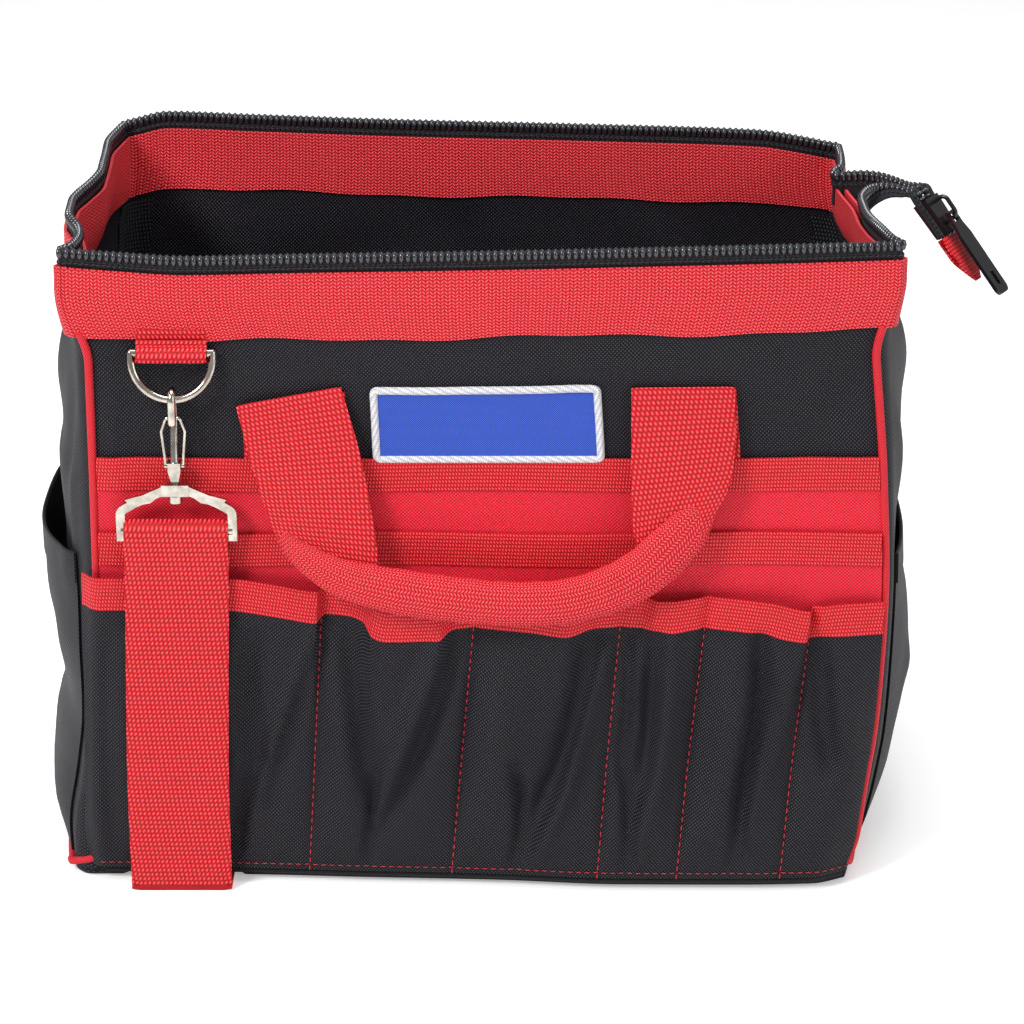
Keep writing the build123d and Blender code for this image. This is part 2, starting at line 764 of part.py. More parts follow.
# --- Snap hook: bow over the ring, stem, collar, and a swivel pin with a riveted head -------------
ring_tilt_angle = math.radians(ring_tilt)
bow_y = -ring_bar_y - ring_reach * math.sin(ring_tilt_angle)
bow_z = ring_bar_z - ring_reach * math.cos(ring_tilt_angle)
bow_radius = (ring_wire + hook_wire) / 2 + hook_slack
block_width, block_depth, block_height = bail_block
with BuildPart() as snap_hook:
    with BuildLine(side_view) as hook_line:
        Line((bow_y - bow_radius, bow_z - nose_length), (bow_y - bow_radius, bow_z))
        ThreePointArc((bow_y - bow_radius, bow_z), (bow_y, bow_z + bow_radius), (bow_y + bow_radius, bow_z))
        FilletPolyline(
            (bow_y + bow_radius, bow_z),
            (bow_y + bow_radius, bow_z - stem_length),
            (-collar_y, collar_z),
            radius=2 * hook_wire,
        )
    hook_path = hook_line.wire()
    with BuildSketch(Plane(origin=hook_path @ 0, z_dir=hook_path % 0)):
        Circle(hook_wire / 2)
    sweep(path=hook_path)
    with Locations(hook_path @ 0):
        Sphere(hook_wire / 2)
    with Locations((strap_x, -collar_y, collar_z)):
        Box(collar_size, collar_size, hook_wire)
    with BuildSketch(Plane(origin=(strap_x, -collar_y, collar_z - hook_wire / 2), z_dir=(0, 0, -1))):
        Rectangle(collar_size, collar_size)
    with BuildSketch(Plane(origin=(strap_x, -collar_y, bail_top_z + seat), z_dir=(0, 0, -1))):
        Rectangle(swivel_pin, swivel_pin)
    loft()
    head_top = bail_top_z - block_height - seat
    with BuildSketch(Plane(origin=(strap_x, -collar_y, bail_top_z + seat), z_dir=(0, 0, -1))):
        Circle(swivel_pin / 2)
    extrude(amount=bail_top_z + seat - head_top)
    with BuildSketch(Plane(origin=(strap_x, -collar_y, head_top), z_dir=(0, 0, -1))):
        Circle(swivel_head / 2)
    extrude(amount=swivel_head_height)
save_both(snap_hook, "snap_hook")

# The gate is a loop of thin wire, pivoted in the collar and sprung against the inside of the nose.
gate_top_y = bow_y - bow_radius + hook_wire / 2 + gate_wire / 2 + gate_stand_off
gate_top_z = bow_z - nose_length + gate_wire
gate_length = gate_top_z - collar_z
gate_plane = Plane(
    origin=(strap_x, -collar_y, collar_z),
    x_dir=(1, 0, 0),
    z_dir=Vector(0, -gate_length, gate_top_y + collar_y),
)
gate_foot = collar_size / 2 + seat + gate_wire / 2
with BuildPart() as hook_gate:
    with BuildLine(gate_plane) as gate_line:
        FilletPolyline(
            (-gate_foot, 0),
            (-(gate_width - gate_wire) / 2, gate_bulge * gate_length),
            (-gate_foot + gate_wire / 2, gate_length),
            (gate_foot - gate_wire / 2, gate_length),
            ((gate_width - gate_wire) / 2, gate_bulge * gate_length),
            (gate_foot, 0),
            radius=gate_radii,
        )
    gate_path = gate_line.wire()
    with BuildSketch(Plane(origin=gate_path @ 0, z_dir=gate_path % 0)):
        Circle(gate_wire / 2)
    sweep(path=gate_path)
    # A round eye at each foot turns on the collar.
    for side in (-1, 1):
        with BuildSketch(Plane(origin=(strap_x + side * gate_foot, -collar_y, collar_z), z_dir=(1, 0, 0))):
            Circle(gate_eye / 2)
        extrude(amount=gate_wire / 2, both=True)
save_both(hook_gate, "hook_gate")

# --- Bail: the stamped yoke that the hook swivels in, with the bar that the strap goes round -------
bail_plane = Plane(origin=(strap_x, -collar_y, 0), x_dir=(1, 0, 0), z_dir=(0, -1, 0))
leg_x = (strap_width + bail_leg) / 2 + bail_clear
block_middle_z = bail_top_z - block_height / 2
with BuildPart() as strap_bail:
    for side in (-1, 1):
        with BuildSketch(bail_plane):
            with BuildLine():
                FilletPolyline(
                    (side * block_width / 3, block_middle_z),
                    (side * bail_shoulder[0], bail_shoulder[1]),
                    (side * leg_x, bail_elbow_z),
                    (side * leg_x, bail_foot_z),
                    radius=bail_radii,
                )
            trace(line_width=bail_leg)
            with BuildLine():
                Polyline(*[(side * x, bail_top_z + z) for x, z in bail_web], close=True)
            make_face()
        extrude(amount=bail_thick / 2, both=True)
    with Locations((strap_x, -collar_y, block_middle_z)):
        Box(*bail_block)
        Cylinder(swivel_pin / 2 + seat, 2 * block_height, mode=Mode.SUBTRACT)
    with Locations((strap_x, -collar_y, bail_bar_z)):
        Cylinder(bail_bar / 2, 2 * leg_x, rotation=(0, 90, 0))
save_both(strap_bail, "strap_bail")

# --- Shoulder strap: two plies from the front bail, down and under the bag, and up behind it ---------
loop_outside = bail_bar / 2 + seat + strap_ply
with BuildPart() as strap_front_drop:
    with BuildSketch(side_view):
        with BuildLine():
            FilletPolyline(
                (-collar_y, bail_bar_z),
                (-strap_front_y, strap_bend_z),
                (-strap_front_y, strap_thick),
                radius=strap_bend_radius,
            )
        trace(line_width=strap_thick)
        with Locations((-collar_y, bail_bar_z)):
            Circle(loop_outside)
            Circle(loop_outside - strap_ply, mode=Mode.SUBTRACT)
    extrude(amount=strap_width / 2, both=True)
save(strap_front_drop, "strap_front_drop")

with BuildPart() as strap_under_run:
    with Locations((strap_x, 0, 0)):
        Box(
            strap_width, 2 * strap_front_y + strap_thick, strap_thick,
            align=(Align.CENTER, Align.CENTER, Align.MIN),
        )
save(strap_under_run, "strap_under_run")

# Behind, one ply goes on through the three-bar adjuster: behind its rails and over its middle bar.
weave = adjuster_thick / 2 + seat + strap_ply / 2
ply_y = strap_front_y - strap_ply / 2
adjuster_y = ply_y + weave
window_edge = adjuster_height / 2 - adjuster_rail
with BuildPart() as strap_back_rise:
    with BuildSketch(side_view):
        with BuildLine():
            FilletPolyline(
                (ply_y, strap_thick),
                (ply_y, adjuster_z - window_edge + weave_slack[0]),
                (ply_y + 2 * weave, adjuster_z - adjuster_rail / 2 - weave_slack[1]),
                (ply_y + 2 * weave, adjuster_z + adjuster_rail / 2 + weave_slack[1]),
                (ply_y, adjuster_z + window_edge - weave_slack[0]),
                (ply_y, strap_bend_z),
                (collar_y, bail_bar_z),
                radius=[weave_radius] * 4 + [strap_bend_radius],
            )
        trace(line_width=strap_ply)
        with Locations((ply_y + strap_ply, (strap_thick + adjuster_z - adjuster_height) / 2)):
            Rectangle(strap_ply, adjuster_z - adjuster_height - strap_thick)
        with Locations((collar_y, bail_bar_z)):
            Circle(loop_outside)
            Circle(loop_outside - strap_ply, mode=Mode.SUBTRACT)
    extrude(amount=strap_width / 2, both=True)
save(strap_back_rise, "strap_back_rise")

adjuster_plane = Plane(origin=(strap_x, adjuster_y, adjuster_z), x_dir=(1, 0, 0), z_dir=(0, -1, 0))
adjuster_inside = strap_width + 2 * adjuster_clear
window = window_edge - adjuster_rail / 2
with BuildPart() as strap_adjuster:
    with BuildSketch(adjuster_plane):
        RectangleRounded(adjuster_inside + 2 * adjuster_side, adjuster_height, adjuster_side)
        with Locations((0, window_edge - window / 2), (0, -window_edge + window / 2)):
            Rectangle(adjuster_inside, window, mode=Mode.SUBTRACT)
    extrude(amount=adjuster_thick / 2, both=True)
save(strap_adjuster, "strap_adjuster")
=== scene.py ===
# %% [markdown]
# # A zippered tool bag
#
# The bag is a soft box of black canvas, open at the top. Webbing binds its mouth, a long zip runs
# round the rim and leaves it in a short tail, and red webbing makes its handles, its strap and the
# edges of its pockets. Each step below makes one kind of piece: first its shape, from a few
# measured points, and then its finish, from nodes.
#
# The frame is the exact model that the bag was designed as. Its soft pieces are plain solids, so
# each is replaced here by real cloth, and its metal pieces are kept and only given a finish.

# %% Load the frame
import math
from functools import partial

import bpy
import numpy as np
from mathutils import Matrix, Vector


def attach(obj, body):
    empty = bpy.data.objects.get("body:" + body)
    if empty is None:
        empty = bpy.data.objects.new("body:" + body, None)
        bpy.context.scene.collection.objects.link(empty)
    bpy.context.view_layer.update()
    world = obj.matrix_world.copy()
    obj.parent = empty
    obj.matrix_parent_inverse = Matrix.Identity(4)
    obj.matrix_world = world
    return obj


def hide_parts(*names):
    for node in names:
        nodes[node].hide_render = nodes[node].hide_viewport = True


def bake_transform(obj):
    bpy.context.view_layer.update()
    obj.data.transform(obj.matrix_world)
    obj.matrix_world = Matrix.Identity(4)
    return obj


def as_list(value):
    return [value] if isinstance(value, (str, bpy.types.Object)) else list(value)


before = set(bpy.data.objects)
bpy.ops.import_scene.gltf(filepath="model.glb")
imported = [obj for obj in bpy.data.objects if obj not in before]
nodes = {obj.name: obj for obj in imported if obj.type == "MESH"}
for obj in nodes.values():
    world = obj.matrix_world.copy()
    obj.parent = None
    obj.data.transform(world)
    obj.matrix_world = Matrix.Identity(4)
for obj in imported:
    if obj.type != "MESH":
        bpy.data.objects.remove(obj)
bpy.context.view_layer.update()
MM = 0.001
print("CAD pieces:", len(nodes))

# %% [markdown]
# ## Lines through measured places
#
# A hand-made thing is never quite straight. Its outlines could be drawn as curves by hand, but then
# they are hard to correct. So every outline here is a short table of measured places, with a smooth
# line between them. When a render shows that an edge sits too high, one number changes.

# %% Heights from a table
def table(x, *pairs):
    """Value at x of a smooth line through (x, value) pairs, level beyond its ends."""
    at, value = np.array(pairs, float).T
    x = np.clip(np.asarray(x, float), at[0], at[-1])
    rise = np.diff(value) / np.diff(at)
    before, after = rise[:-1], rise[1:]
    inner = np.where(before * after > 0, 2 * before * after / (before + after + 1e-12), 0)
    slope = np.concatenate([rise[:1], inner, rise[-1:]])
    k = np.clip(np.searchsorted(at, x, side="right") - 1, 0, len(at) - 2)
    gap = at[k + 1] - at[k]
    t = (x - at[k]) / gap
    start = value[k] * (1 + 2 * t) + gap * slope[k] * t
    end = value[k + 1] * (3 - 2 * t) - gap * slope[k + 1] * (1 - t)
    return start * (1 - t) ** 2 + end * t**2


def ease(start, end, x):
    """0 before start, 1 after end, and smooth between them."""
    t = np.clip((np.asarray(x, float) - start) / (end - start), 0, 1)
    return t * t * (3 - 2 * t)


print("half way up a step:", float(ease(0, 1, 0.5)))

# %% [markdown]
# A line in space goes through its points in the same way. It is a Catmull-Rom line, because that
# one touches every point that was measured, and it is then cut into equal steps, so that threads
# and teeth that follow it keep their spacing.

# %% Smooth lines in space
def smooth_line(points, count):
    """Evenly spaced points along a smooth line through the given ones."""
    p = np.asarray(points, float)
    p = np.vstack([2 * p[0] - p[1], p, 2 * p[-1] - p[-2]])
    t = np.linspace(0, 1, 16, endpoint=False)[:, None]
    runs = []
    for a, b, c, d in zip(p, p[1:], p[2:], p[3:]):
        turn = (2 * a - 5 * b + 4 * c - d) * t**2 + (3 * b - a - 3 * c + d) * t**3
        runs.append(0.5 * (2 * b + (c - a) * t + turn))
    line = np.vstack(runs + [p[-2][None]])
    steps = np.linalg.norm(np.diff(line, axis=0), axis=1)
    along = np.concatenate([[0], np.cumsum(steps)])
    places = np.linspace(0, along[-1], count)
    return np.stack([np.interp(places, along, line[:, k]) for k in range(p.shape[1])], 1)


print("a smooth line:", smooth_line([(0, 0), (1, 1), (2, 0)], 3).round(2).tolist())

# %% [markdown]
# ## Colours and nodes
#
# Every colour is written as the sRGB value that the eye reads, and one function turns it into the
# linear light that a shader wants. A second helper adds a node with its settings and its links, so
# that a whole cloth stays readable. An input is given by its name, or simply by its place in order.

# %% Colours and nodes
def colour(code):
    """Linear RGBA of an sRGB code such as 'D8202A'."""
    parts = [int(code[i : i + 2], 16) / 255 for i in (0, 2, 4)]
    linear = (c / 12.92 if c <= 0.04045 else ((c + 0.055) / 1.055) ** 2.4 for c in parts)
    return (*linear, 1)


def node(tree, kind, inputs=(), **settings):
    """A new node with its settings, and a value, a node or a socket for each of its inputs."""
    new = tree.nodes.new(kind)
    for key, value in settings.items():
        setattr(new, key, value)
    for key, value in inputs.items() if isinstance(inputs, dict) else enumerate(inputs):
        if isinstance(value, bpy.types.Node):
            value = value.outputs[0]
        if isinstance(value, bpy.types.NodeSocket):
            tree.links.new(value, new.inputs[key])
        else:
            new.inputs[key].default_value = value
    return new


def finish(name):
    """An empty material with its shader, ready for nodes."""
    material = bpy.data.materials.new(name)
    material.use_nodes = True
    return material, material.node_tree, material.node_tree.nodes["Principled BSDF"]


MATH = "ShaderNodeMath"
print("a red in linear light:", [round(c, 3) for c in colour("E4121B")])

# %% [markdown]
# ## Woven cloth
#
# Canvas, webbing, tape and knit differ in one thing: where their threads rise. A picture of cloth
# would blur close up and repeat, so the threads are worked out instead. First comes the height of
# the threads at a place, from waves across and along the cloth. Plain canvas crosses two waves,
# webbing sets short slanted threads in rows, and a knit folds its threads into rows of Vs.

# %% Where threads rise
def thread_height(tree, weave, across, along):
    """Height of the threads, 0 to 1. One thread repeats in each unit across and along."""
    humps = []
    if weave == "plain":      # threads pass over and under by turns
        for way in (across, along):
            angle = node(tree, MATH, (way, math.tau), operation="MULTIPLY")
            humps.append(node(tree, MATH, (angle,), operation="SINE"))
        crossed = node(tree, MATH, humps, operation="MULTIPLY")
        return node(tree, MATH, (crossed, 0.5, 0.5), operation="MULTIPLY_ADD")
    if weave == "ribbed":     # short slanted threads, shifted by half in each row
        row = node(tree, MATH, (along,), operation="FLOOR")
        shift = node(tree, MATH, (row, 0.5), operation="MULTIPLY")
        shifted = node(tree, MATH, (across, shift), operation="ADD")
        slanted = node(tree, MATH, (along, 0.35, shifted), operation="MULTIPLY_ADD")
        ways = ((slanted, math.pi, 1.4), (along, math.pi, 0.7))
    else:                     # knit: slanted threads that meet in a row of Vs
        fold = node(tree, MATH, (across, 0.5), operation="PINGPONG")
        slanted = node(tree, MATH, (fold, 1.6, along), operation="MULTIPLY_ADD")
        ways = ((slanted, math.pi, None), (fold, math.tau, None))
    for way, turn, power in ways:
        angle = node(tree, MATH, (way, turn), operation="MULTIPLY")
        wave = node(tree, MATH, (angle,), operation="SINE")
        hump = node(tree, MATH, (wave,), operation="ABSOLUTE")
        humps.append(node(tree, MATH, (hump, power), operation="POWER") if power else hump)
    if weave == "knit":
        humps[1] = node(tree, MATH, (humps[1], 0.55, 0.45), operation="MULTIPLY_ADD")
    return node(tree, MATH, humps, operation="MULTIPLY")


print("weaves: plain, ribbed, knit")

# %% [markdown]
# The recipe reads the cloth's own coordinates in millimetres, so the threads keep their size and
# follow every fold. The height drives the colour, from the shade between threads to the lit thread,
# and the bump. A faint large noise keeps a wide panel from looking printed, and a fine one stands
# for single fibres.

# %% The weave recipe
def woven(name, gap, thread, light, pitch, rough, weave="plain", bump=0.25, wear=0.12, gloss=0.3):
    """Cloth whose threads repeat every pitch = (across, along) millimetres of its own surface."""
    material, tree, shader = finish(name)
    uv = node(tree, "ShaderNodeUVMap", uv_map="cloth")
    threads_per_metre = (1 / (pitch[0] * MM), 1 / (pitch[1] * MM), 1)
    counted = node(tree, "ShaderNodeMapping", {"Vector": uv, "Scale": threads_per_metre})
    split = node(tree, "ShaderNodeSeparateXYZ", (counted,))
    height = thread_height(tree, weave, split.outputs[0], split.outputs[1])
    ramp = node(tree, "ShaderNodeValToRGB", {"Fac": height})
    deep, high = ramp.color_ramp.elements
    deep.color, deep.position = colour(gap), 0.12
    high.color, high.position = colour(light), 0.97
    ramp.color_ramp.elements.new(0.6).color = colour(thread)
    patches = node(tree, "ShaderNodeTexNoise", {"Vector": uv, "Scale": 28.0, "Detail": 4.0})
    fibres = node(tree, "ShaderNodeTexNoise", {"Vector": counted, "Scale": 2.3, "Detail": 2.0})
    worn = node(tree, MATH, (patches, wear, 1 - wear / 2), operation="MULTIPLY_ADD")
    fuzz = node(tree, MATH, (fibres, 0.5, 0.75), operation="MULTIPLY_ADD")
    shade = node(tree, MATH, (worn, fuzz), operation="MULTIPLY")
    tinted = node(tree, "ShaderNodeHueSaturation", {"Color": ramp, "Value": shade})
    rough_now = node(tree, MATH, (patches, 0.12, rough - 0.06), operation="MULTIPLY_ADD")
    rise = min(pitch) * 0.3 * MM
    raised = node(tree, "ShaderNodeBump", {"Height": height, "Strength": bump, "Distance": rise})
    tree.links.new(tinted.outputs[0], shader.inputs["Base Color"])
    tree.links.new(rough_now.outputs[0], shader.inputs["Roughness"])
    tree.links.new(raised.outputs[0], shader.inputs["Normal"])
    shader.inputs["Sheen Weight"].default_value = 0.02
    shader.inputs["Sheen Roughness"].default_value = 0.4
    shader.inputs["Specular IOR Level"].default_value = gloss
    return material


print("cloth recipe ready")

# %% [markdown]
# ## The cloths of this bag
#
# Each cloth is named for what it really is. The real canvas has a thread about every 0.8 mm and the
# webbing one about every 1 mm, which is finer than the picture can show. So their pitch is drawn
# about twice as coarse, and the eye still reads it as weave.

# %% Cloths
# Coated plain-weave polyester, black with a cold grey light on its threads (real pitch 0.8 mm).
black_canvas = woven(
    "black_canvas", "000001", "050507", "4C4A58", (1.9, 1.9), 0.5, bump=0.7, gloss=0.22
)
# The same cloth dyed a deep red.
red_canvas = woven("red_canvas", "A80E1C", "E8182F", "FF445C", (1.7, 1.7), 0.6, bump=0.4)
# Polypropylene webbing, with rows of short slanted threads that shine pink (real pitch 1 mm).
red_webbing = woven(
    "red_webbing", "A4070E", "F0141F", "FF626D", (2.1, 2.4), 0.5, "ribbed", bump=0.8
)
# Narrow polyester binding folded over the pockets' edges, finer than the webbing.
red_binding = woven(
    "red_binding", "A2070E", "EA131E", "FF5C67", (1.5, 1.9), 0.5, "ribbed", bump=0.7
)
# Herringbone knit of the bands at the mouth and of the handles' grips.
red_knit = woven("red_knit", "A0060E", "E6131F", "FF6A76", (3.4, 1.7), 0.55, "knit", bump=0.9)
# Thin polyester drawn over a cord, red at the corner seams and black round the foot.
red_piping = woven("red_piping", "A00A13", "D81423", "F0485A", (1.4, 1.4), 0.55, bump=0.35)
black_piping = woven("black_piping", "020203", "0C0D10", "33363F", (1.4, 1.4), 0.6, bump=0.35)
# Woven zip tape, a fine herringbone.
black_tape = woven("black_tape", "020203", "0B0C0E", "33363F", (2.2, 1.0), 0.55, "knit", bump=0.5)
# Knitted cord that holds the zip's coil.
black_cord = woven("black_cord", "020203", "101114", "44464F", (2.1, 2.6), 0.5, "knit", bump=0.9)
# Ribbed polyester tape over the raw edges inside.
seam_tape = woven("seam_tape", "020203", "0B0C0E", "40434E", (1.8, 2.2), 0.6, "ribbed", bump=0.8)
print("cloths:", [m.name for m in bpy.data.materials])

# %% [markdown]
# ## Cloth as a solid sheet
#
# A real panel has two faces and an edge, and both faces are seen here, because the bag stands open.
# A thin surface with a modifier could give the thickness, but its side edges could not be thinned.
# So each piece is two grids of points, its outer and its inner face, joined round their edges. The
# lengths of the grid's rows and columns become the cloth's own coordinates, which the weaves read.

# %% From two grids of points to a piece
def place(name, mesh, material, keep_sharp=50):
    """A mesh becomes a smooth-shaded piece with its finish. Edges over keep_sharp degrees stay."""
    mesh.polygons.foreach_set("use_smooth", [True] * len(mesh.polygons))
    mesh.set_sharp_from_angle(angle=math.radians(keep_sharp))
    mesh.materials.append(material)
    piece = bpy.data.objects.new(name, mesh)
    bpy.context.scene.collection.objects.link(piece)
    return piece


def pair(a, b):
    return np.stack([a, b], 1)


def run_lengths(grid, axis):
    """Mean length of a grid's lines, from their start to each of their points."""
    steps = np.linalg.norm(np.diff(grid, axis=axis), axis=2).mean(1 - axis)
    return np.concatenate([[0], np.cumsum(steps)])


def solid(name, outer, inner, material, closed=False):
    """A closed sheet between two grids of points in millimetres: columns along, rows up."""
    rows, cols = outer.shape[:2]
    count = rows * cols
    span = cols if closed else cols - 1
    i, j = (g.ravel() for g in np.meshgrid(np.arange(rows - 1), np.arange(span), indexing="ij"))
    k = (j + 1) % cols
    face = np.stack([i * cols + j, i * cols + k, (i + 1) * cols + k, (i + 1) * cols + j], 1)
    spot = np.stack([pair(j, i), pair(j + 1, i), pair(j + 1, i + 1), pair(j, i + 1)], 1)
    faces, spots = [face, face[:, ::-1] + count], [spot, spot[:, ::-1]]

    def edge(a, b, spot_a, spot_b):
        faces.append(np.stack([a, b, b + count, a + count], 1))
        spots.append(np.stack([spot_a, spot_b, spot_b, spot_a], 1))

    c = np.arange(span)
    zero, last = np.zeros_like(c), np.full_like(c, rows - 1)
    top = (rows - 1) * cols
    edge((c + 1) % cols, c, pair(c + 1, zero), pair(c, zero))
    edge(top + c, top + (c + 1) % cols, pair(c, last), pair(c + 1, last))
    if not closed:
        r = np.arange(rows - 1)
        near, far = np.zeros_like(r), np.full_like(r, cols - 1)
        edge(r * cols, (r + 1) * cols, pair(near, r), pair(near, r + 1))
        edge((r + 1) * cols + far, r * cols + far, pair(far, r + 1), pair(far, r))
    u = run_lengths(np.concatenate([outer, outer[:, :1]], 1) if closed else outer, 1)
    v = run_lengths(outer, 0)
    spots = np.concatenate(spots).reshape(-1, 2)
    mesh = bpy.data.meshes.new(name)
    points = np.concatenate([outer.reshape(-1, 3), inner.reshape(-1, 3)]) * MM
    mesh.from_pydata(points.tolist(), [], np.concatenate(faces).tolist())
    layer = mesh.uv_layers.new(name="cloth")
    layer.data.foreach_set("uv", (pair(u[spots[:, 0]], v[spots[:, 1]]) * MM).ravel())
    return place(name, mesh, material)


print("a sheet is two faces and their edges")

# %% [markdown]
# Most pieces need only one grid. Panels are given their front face and a thickness. Webbing and
# tape are given their middle, and webbing's side edges are thinner than the rest, as woven
# ones are.

# %% Panels and webbing
def outward(grid, closed=False):
    """Unit normals of a grid, to the side that its front shows."""
    if closed:
        wide = np.concatenate([grid[:, -1:], grid, grid[:, :1]], 1)
        along = (wide[:, 2:] - wide[:, :-2]) / 2
    else:
        along = np.gradient(grid, axis=1)
    n = np.cross(along, np.gradient(grid, axis=0))
    return n / np.maximum(np.linalg.norm(n, axis=2, keepdims=True), 1e-9)


def cloth(name, grid, thick, material, closed=False):
    """A sheet of cloth whose front face is the grid."""
    return solid(name, grid, grid - outward(grid, closed) * thick, material, closed)


def strip(name, grid, thick, material, selvedge=1.0):
    """A sheet with its grid half way through, and side edges selvedge times as thick."""
    half = np.full(grid.shape[1], thick / 2)
    half[[0, -1]] *= selvedge
    off = outward(grid) * half[:, None]
    return solid(name, grid + off, grid - off, material)


def webbing(name, path, across, width, thick):
    """Red webbing that follows a path, with its width along one direction."""
    steps = np.linspace(-1, 1, 13)[:, None] * width / 2
    grid = path[:, None] + np.array(across, float) * steps
    return strip(name, grid, thick, red_webbing, 0.45)


print("pieces from one grid: cloth, strip, webbing")

# %% [markdown]
# Cords and the rolled grips are round, so they are skins over rings of points. Each ring is turned
# as little as possible from the one before, which keeps the weave on a bent cord from twisting.

# %% Cords
def skin(name, rings, material):
    """A closed skin over rings of points, capped at both ends."""
    rows, cols = rings.shape[:2]
    i, j = (g.ravel() for g in np.meshgrid(np.arange(rows - 1), np.arange(cols), indexing="ij"))
    k = (j + 1) % cols
    faces = np.stack([i * cols + j, i * cols + k, (i + 1) * cols + k, (i + 1) * cols + j], 1)
    around = np.linalg.norm(np.roll(rings, -1, 1) - rings, axis=2).sum(1).mean()
    along = run_lengths(rings.mean(1, keepdims=True), 0)
    u = np.stack([j, j + 1, j + 1, j], 1) * around / cols
    v = along[np.stack([i, i, i + 1, i + 1], 1)]
    caps = [list(range(cols))[::-1], [(rows - 1) * cols + c for c in range(cols)]]
    mesh = bpy.data.meshes.new(name)
    mesh.from_pydata((rings.reshape(-1, 3) * MM).tolist(), [], faces.tolist() + caps)
    flat = np.stack([u, v], 2).reshape(-1, 2)
    flat = np.concatenate([flat, np.zeros((2 * cols, 2))]) * MM
    mesh.uv_layers.new(name="cloth").data.foreach_set("uv", flat.ravel())
    mesh.update()
    return place(name, mesh, material)


def tube(name, path, radius, material, sides=12, ends=True):
    """A round cord along a path, with rounded ends."""
    ahead = np.gradient(path, axis=0)
    ahead /= np.linalg.norm(ahead, axis=1, keepdims=True)
    side = np.cross(ahead[0], (0.3, 0.2, 1.0))
    turn = np.linspace(0, math.tau, sides, endpoint=False)[:, None]
    rings = []
    for point, step in zip(path, ahead):
        side = side - step * (side @ step)
        side = side / np.linalg.norm(side)
        rings.append(point + radius * (np.cos(turn) * side + np.sin(turn) * np.cross(step, side)))
    if ends:
        first, last = (path[k] + (rings[k] - path[k]) * 0.05 for k in (0, -1))
        rings = [first, *rings, last]
    return skin(name, np.array(rings), material)


print("pieces from rings: skin, tube")

# %% [markdown]
# ## The bag's walls
#
# A cloth simulation could drape the walls, but it would not give the folds of one real bag. So the
# four walls are one lofted shell that is measured. Its foot is the padded base, its mouth is the
# rim that the webbing holds, and between them the sides bow out and sag. Tables give the corner
# seams and how far each side bows at every height. Another set gives the rim, which waves in and
# out and up and down. Everything sewn on later asks this one function where the wall is.

# %% Corner seams and side walls
HALF_DEPTH, HALF_WIDTH, MOUTH = 105.0, 183.0, 308.0
STRAP_X = -146.5


def seam(side, end, z):
    """Distance of a corner seam from the middle: side -1 left, 1 right, end -1 front, 1 back."""
    if side > 0:
        front = table(
            z, (0, 180), (12, 183), (25, 186.7), (40, 188.4), (59, 190.8), (75, 192.9),
            (97, 194.5), (150, 196), (212, 193), (284, 186), (300, 185)
        )
        back = table(z, (0, 184), (60, 187), (150, 190), (284, 185), (300, 184))
    else:
        front = table(
            z, (0, 188), (22, 188.4), (49, 187.4), (98, 185.5), (150, 184), (284, 182.5),
            (300, 183)
        )
        back = table(z, (0, 184), (60, 187), (150, 189), (284, 184), (300, 183))
    mix = (np.asarray(end, float) + 1) / 2
    return front * (1 - mix) + back * mix


def bow(side, z):
    """Distance of a side wall from the middle of the bag, half way back."""
    if side > 0:
        return table(
            z, (0, 190), (21, 197), (44, 204), (100, 207), (165, 206), (190, 208), (229, 209),
            (250, 208), (284, 205), (306, 194)
        )
    return table(
        z, (0, 206), (30, 211), (60, 208), (80, 204), (120, 208.5), (165, 208), (200, 210),
        (216, 207), (249, 205), (284, 202), (306, 196)
    )


def plump(side, z):
    """How far a side wall swells out just behind its corner seams."""
    if side > 0:
        return table(z, (0, 0.5), (30, 2), (70, 4), (150, 4))
    return table(z, (0, 13), (25, 11), (60, 6.5), (110, 4), (150, 4))


def foot_push(a):
    """How far the foot of the front wall is pushed forward."""
    return table(
        a, (-183, 0), (-115, 1.0), (-60, 4.0), (10, 7.4), (70, 12.4), (129, 12.8), (165, 11.4),
        (183, 3.5)
    )


print("half width at mid height:", float(bow(1, 150)), "mm on the right")

# %% [markdown]
# The rim is held by the band and the zip, and both pull it out of a straight line. Two tables say
# where it runs: one how far it stands over or under its height in the CAD, one its plan.

# %% Rim
def rim_lift(side, a):
    """How far the rim stands over its CAD height, along one wall."""
    if side == "front":
        return table(
            a, (-183, 2), (-160, 0), (-129, -2), (-82, -1), (1, 0.4), (80, 2.3), (150, 4.2),
            (183, 5.4)
        )
    if side == "back":
        return table(
            a, (-183, 7), (-166, 10.2), (-120, 8.9), (-42, 6.4), (62, 3.9), (145, 1.2),
            (176, -3.5), (183, -5)
        )
    if side == "right":
        return table(
            a, (-105, 5.4), (-92, 5.6), (-70, 5), (-45, 2.4), (-20, -0.8), (60, -7), (105, -5)
        )
    return table(
        a, (-105, 2), (-66, 0.7), (-48, 0.2), (-32, 1.4), (8, 2.3), (52, 4.2), (88, 4.8), (105, 7)
    )


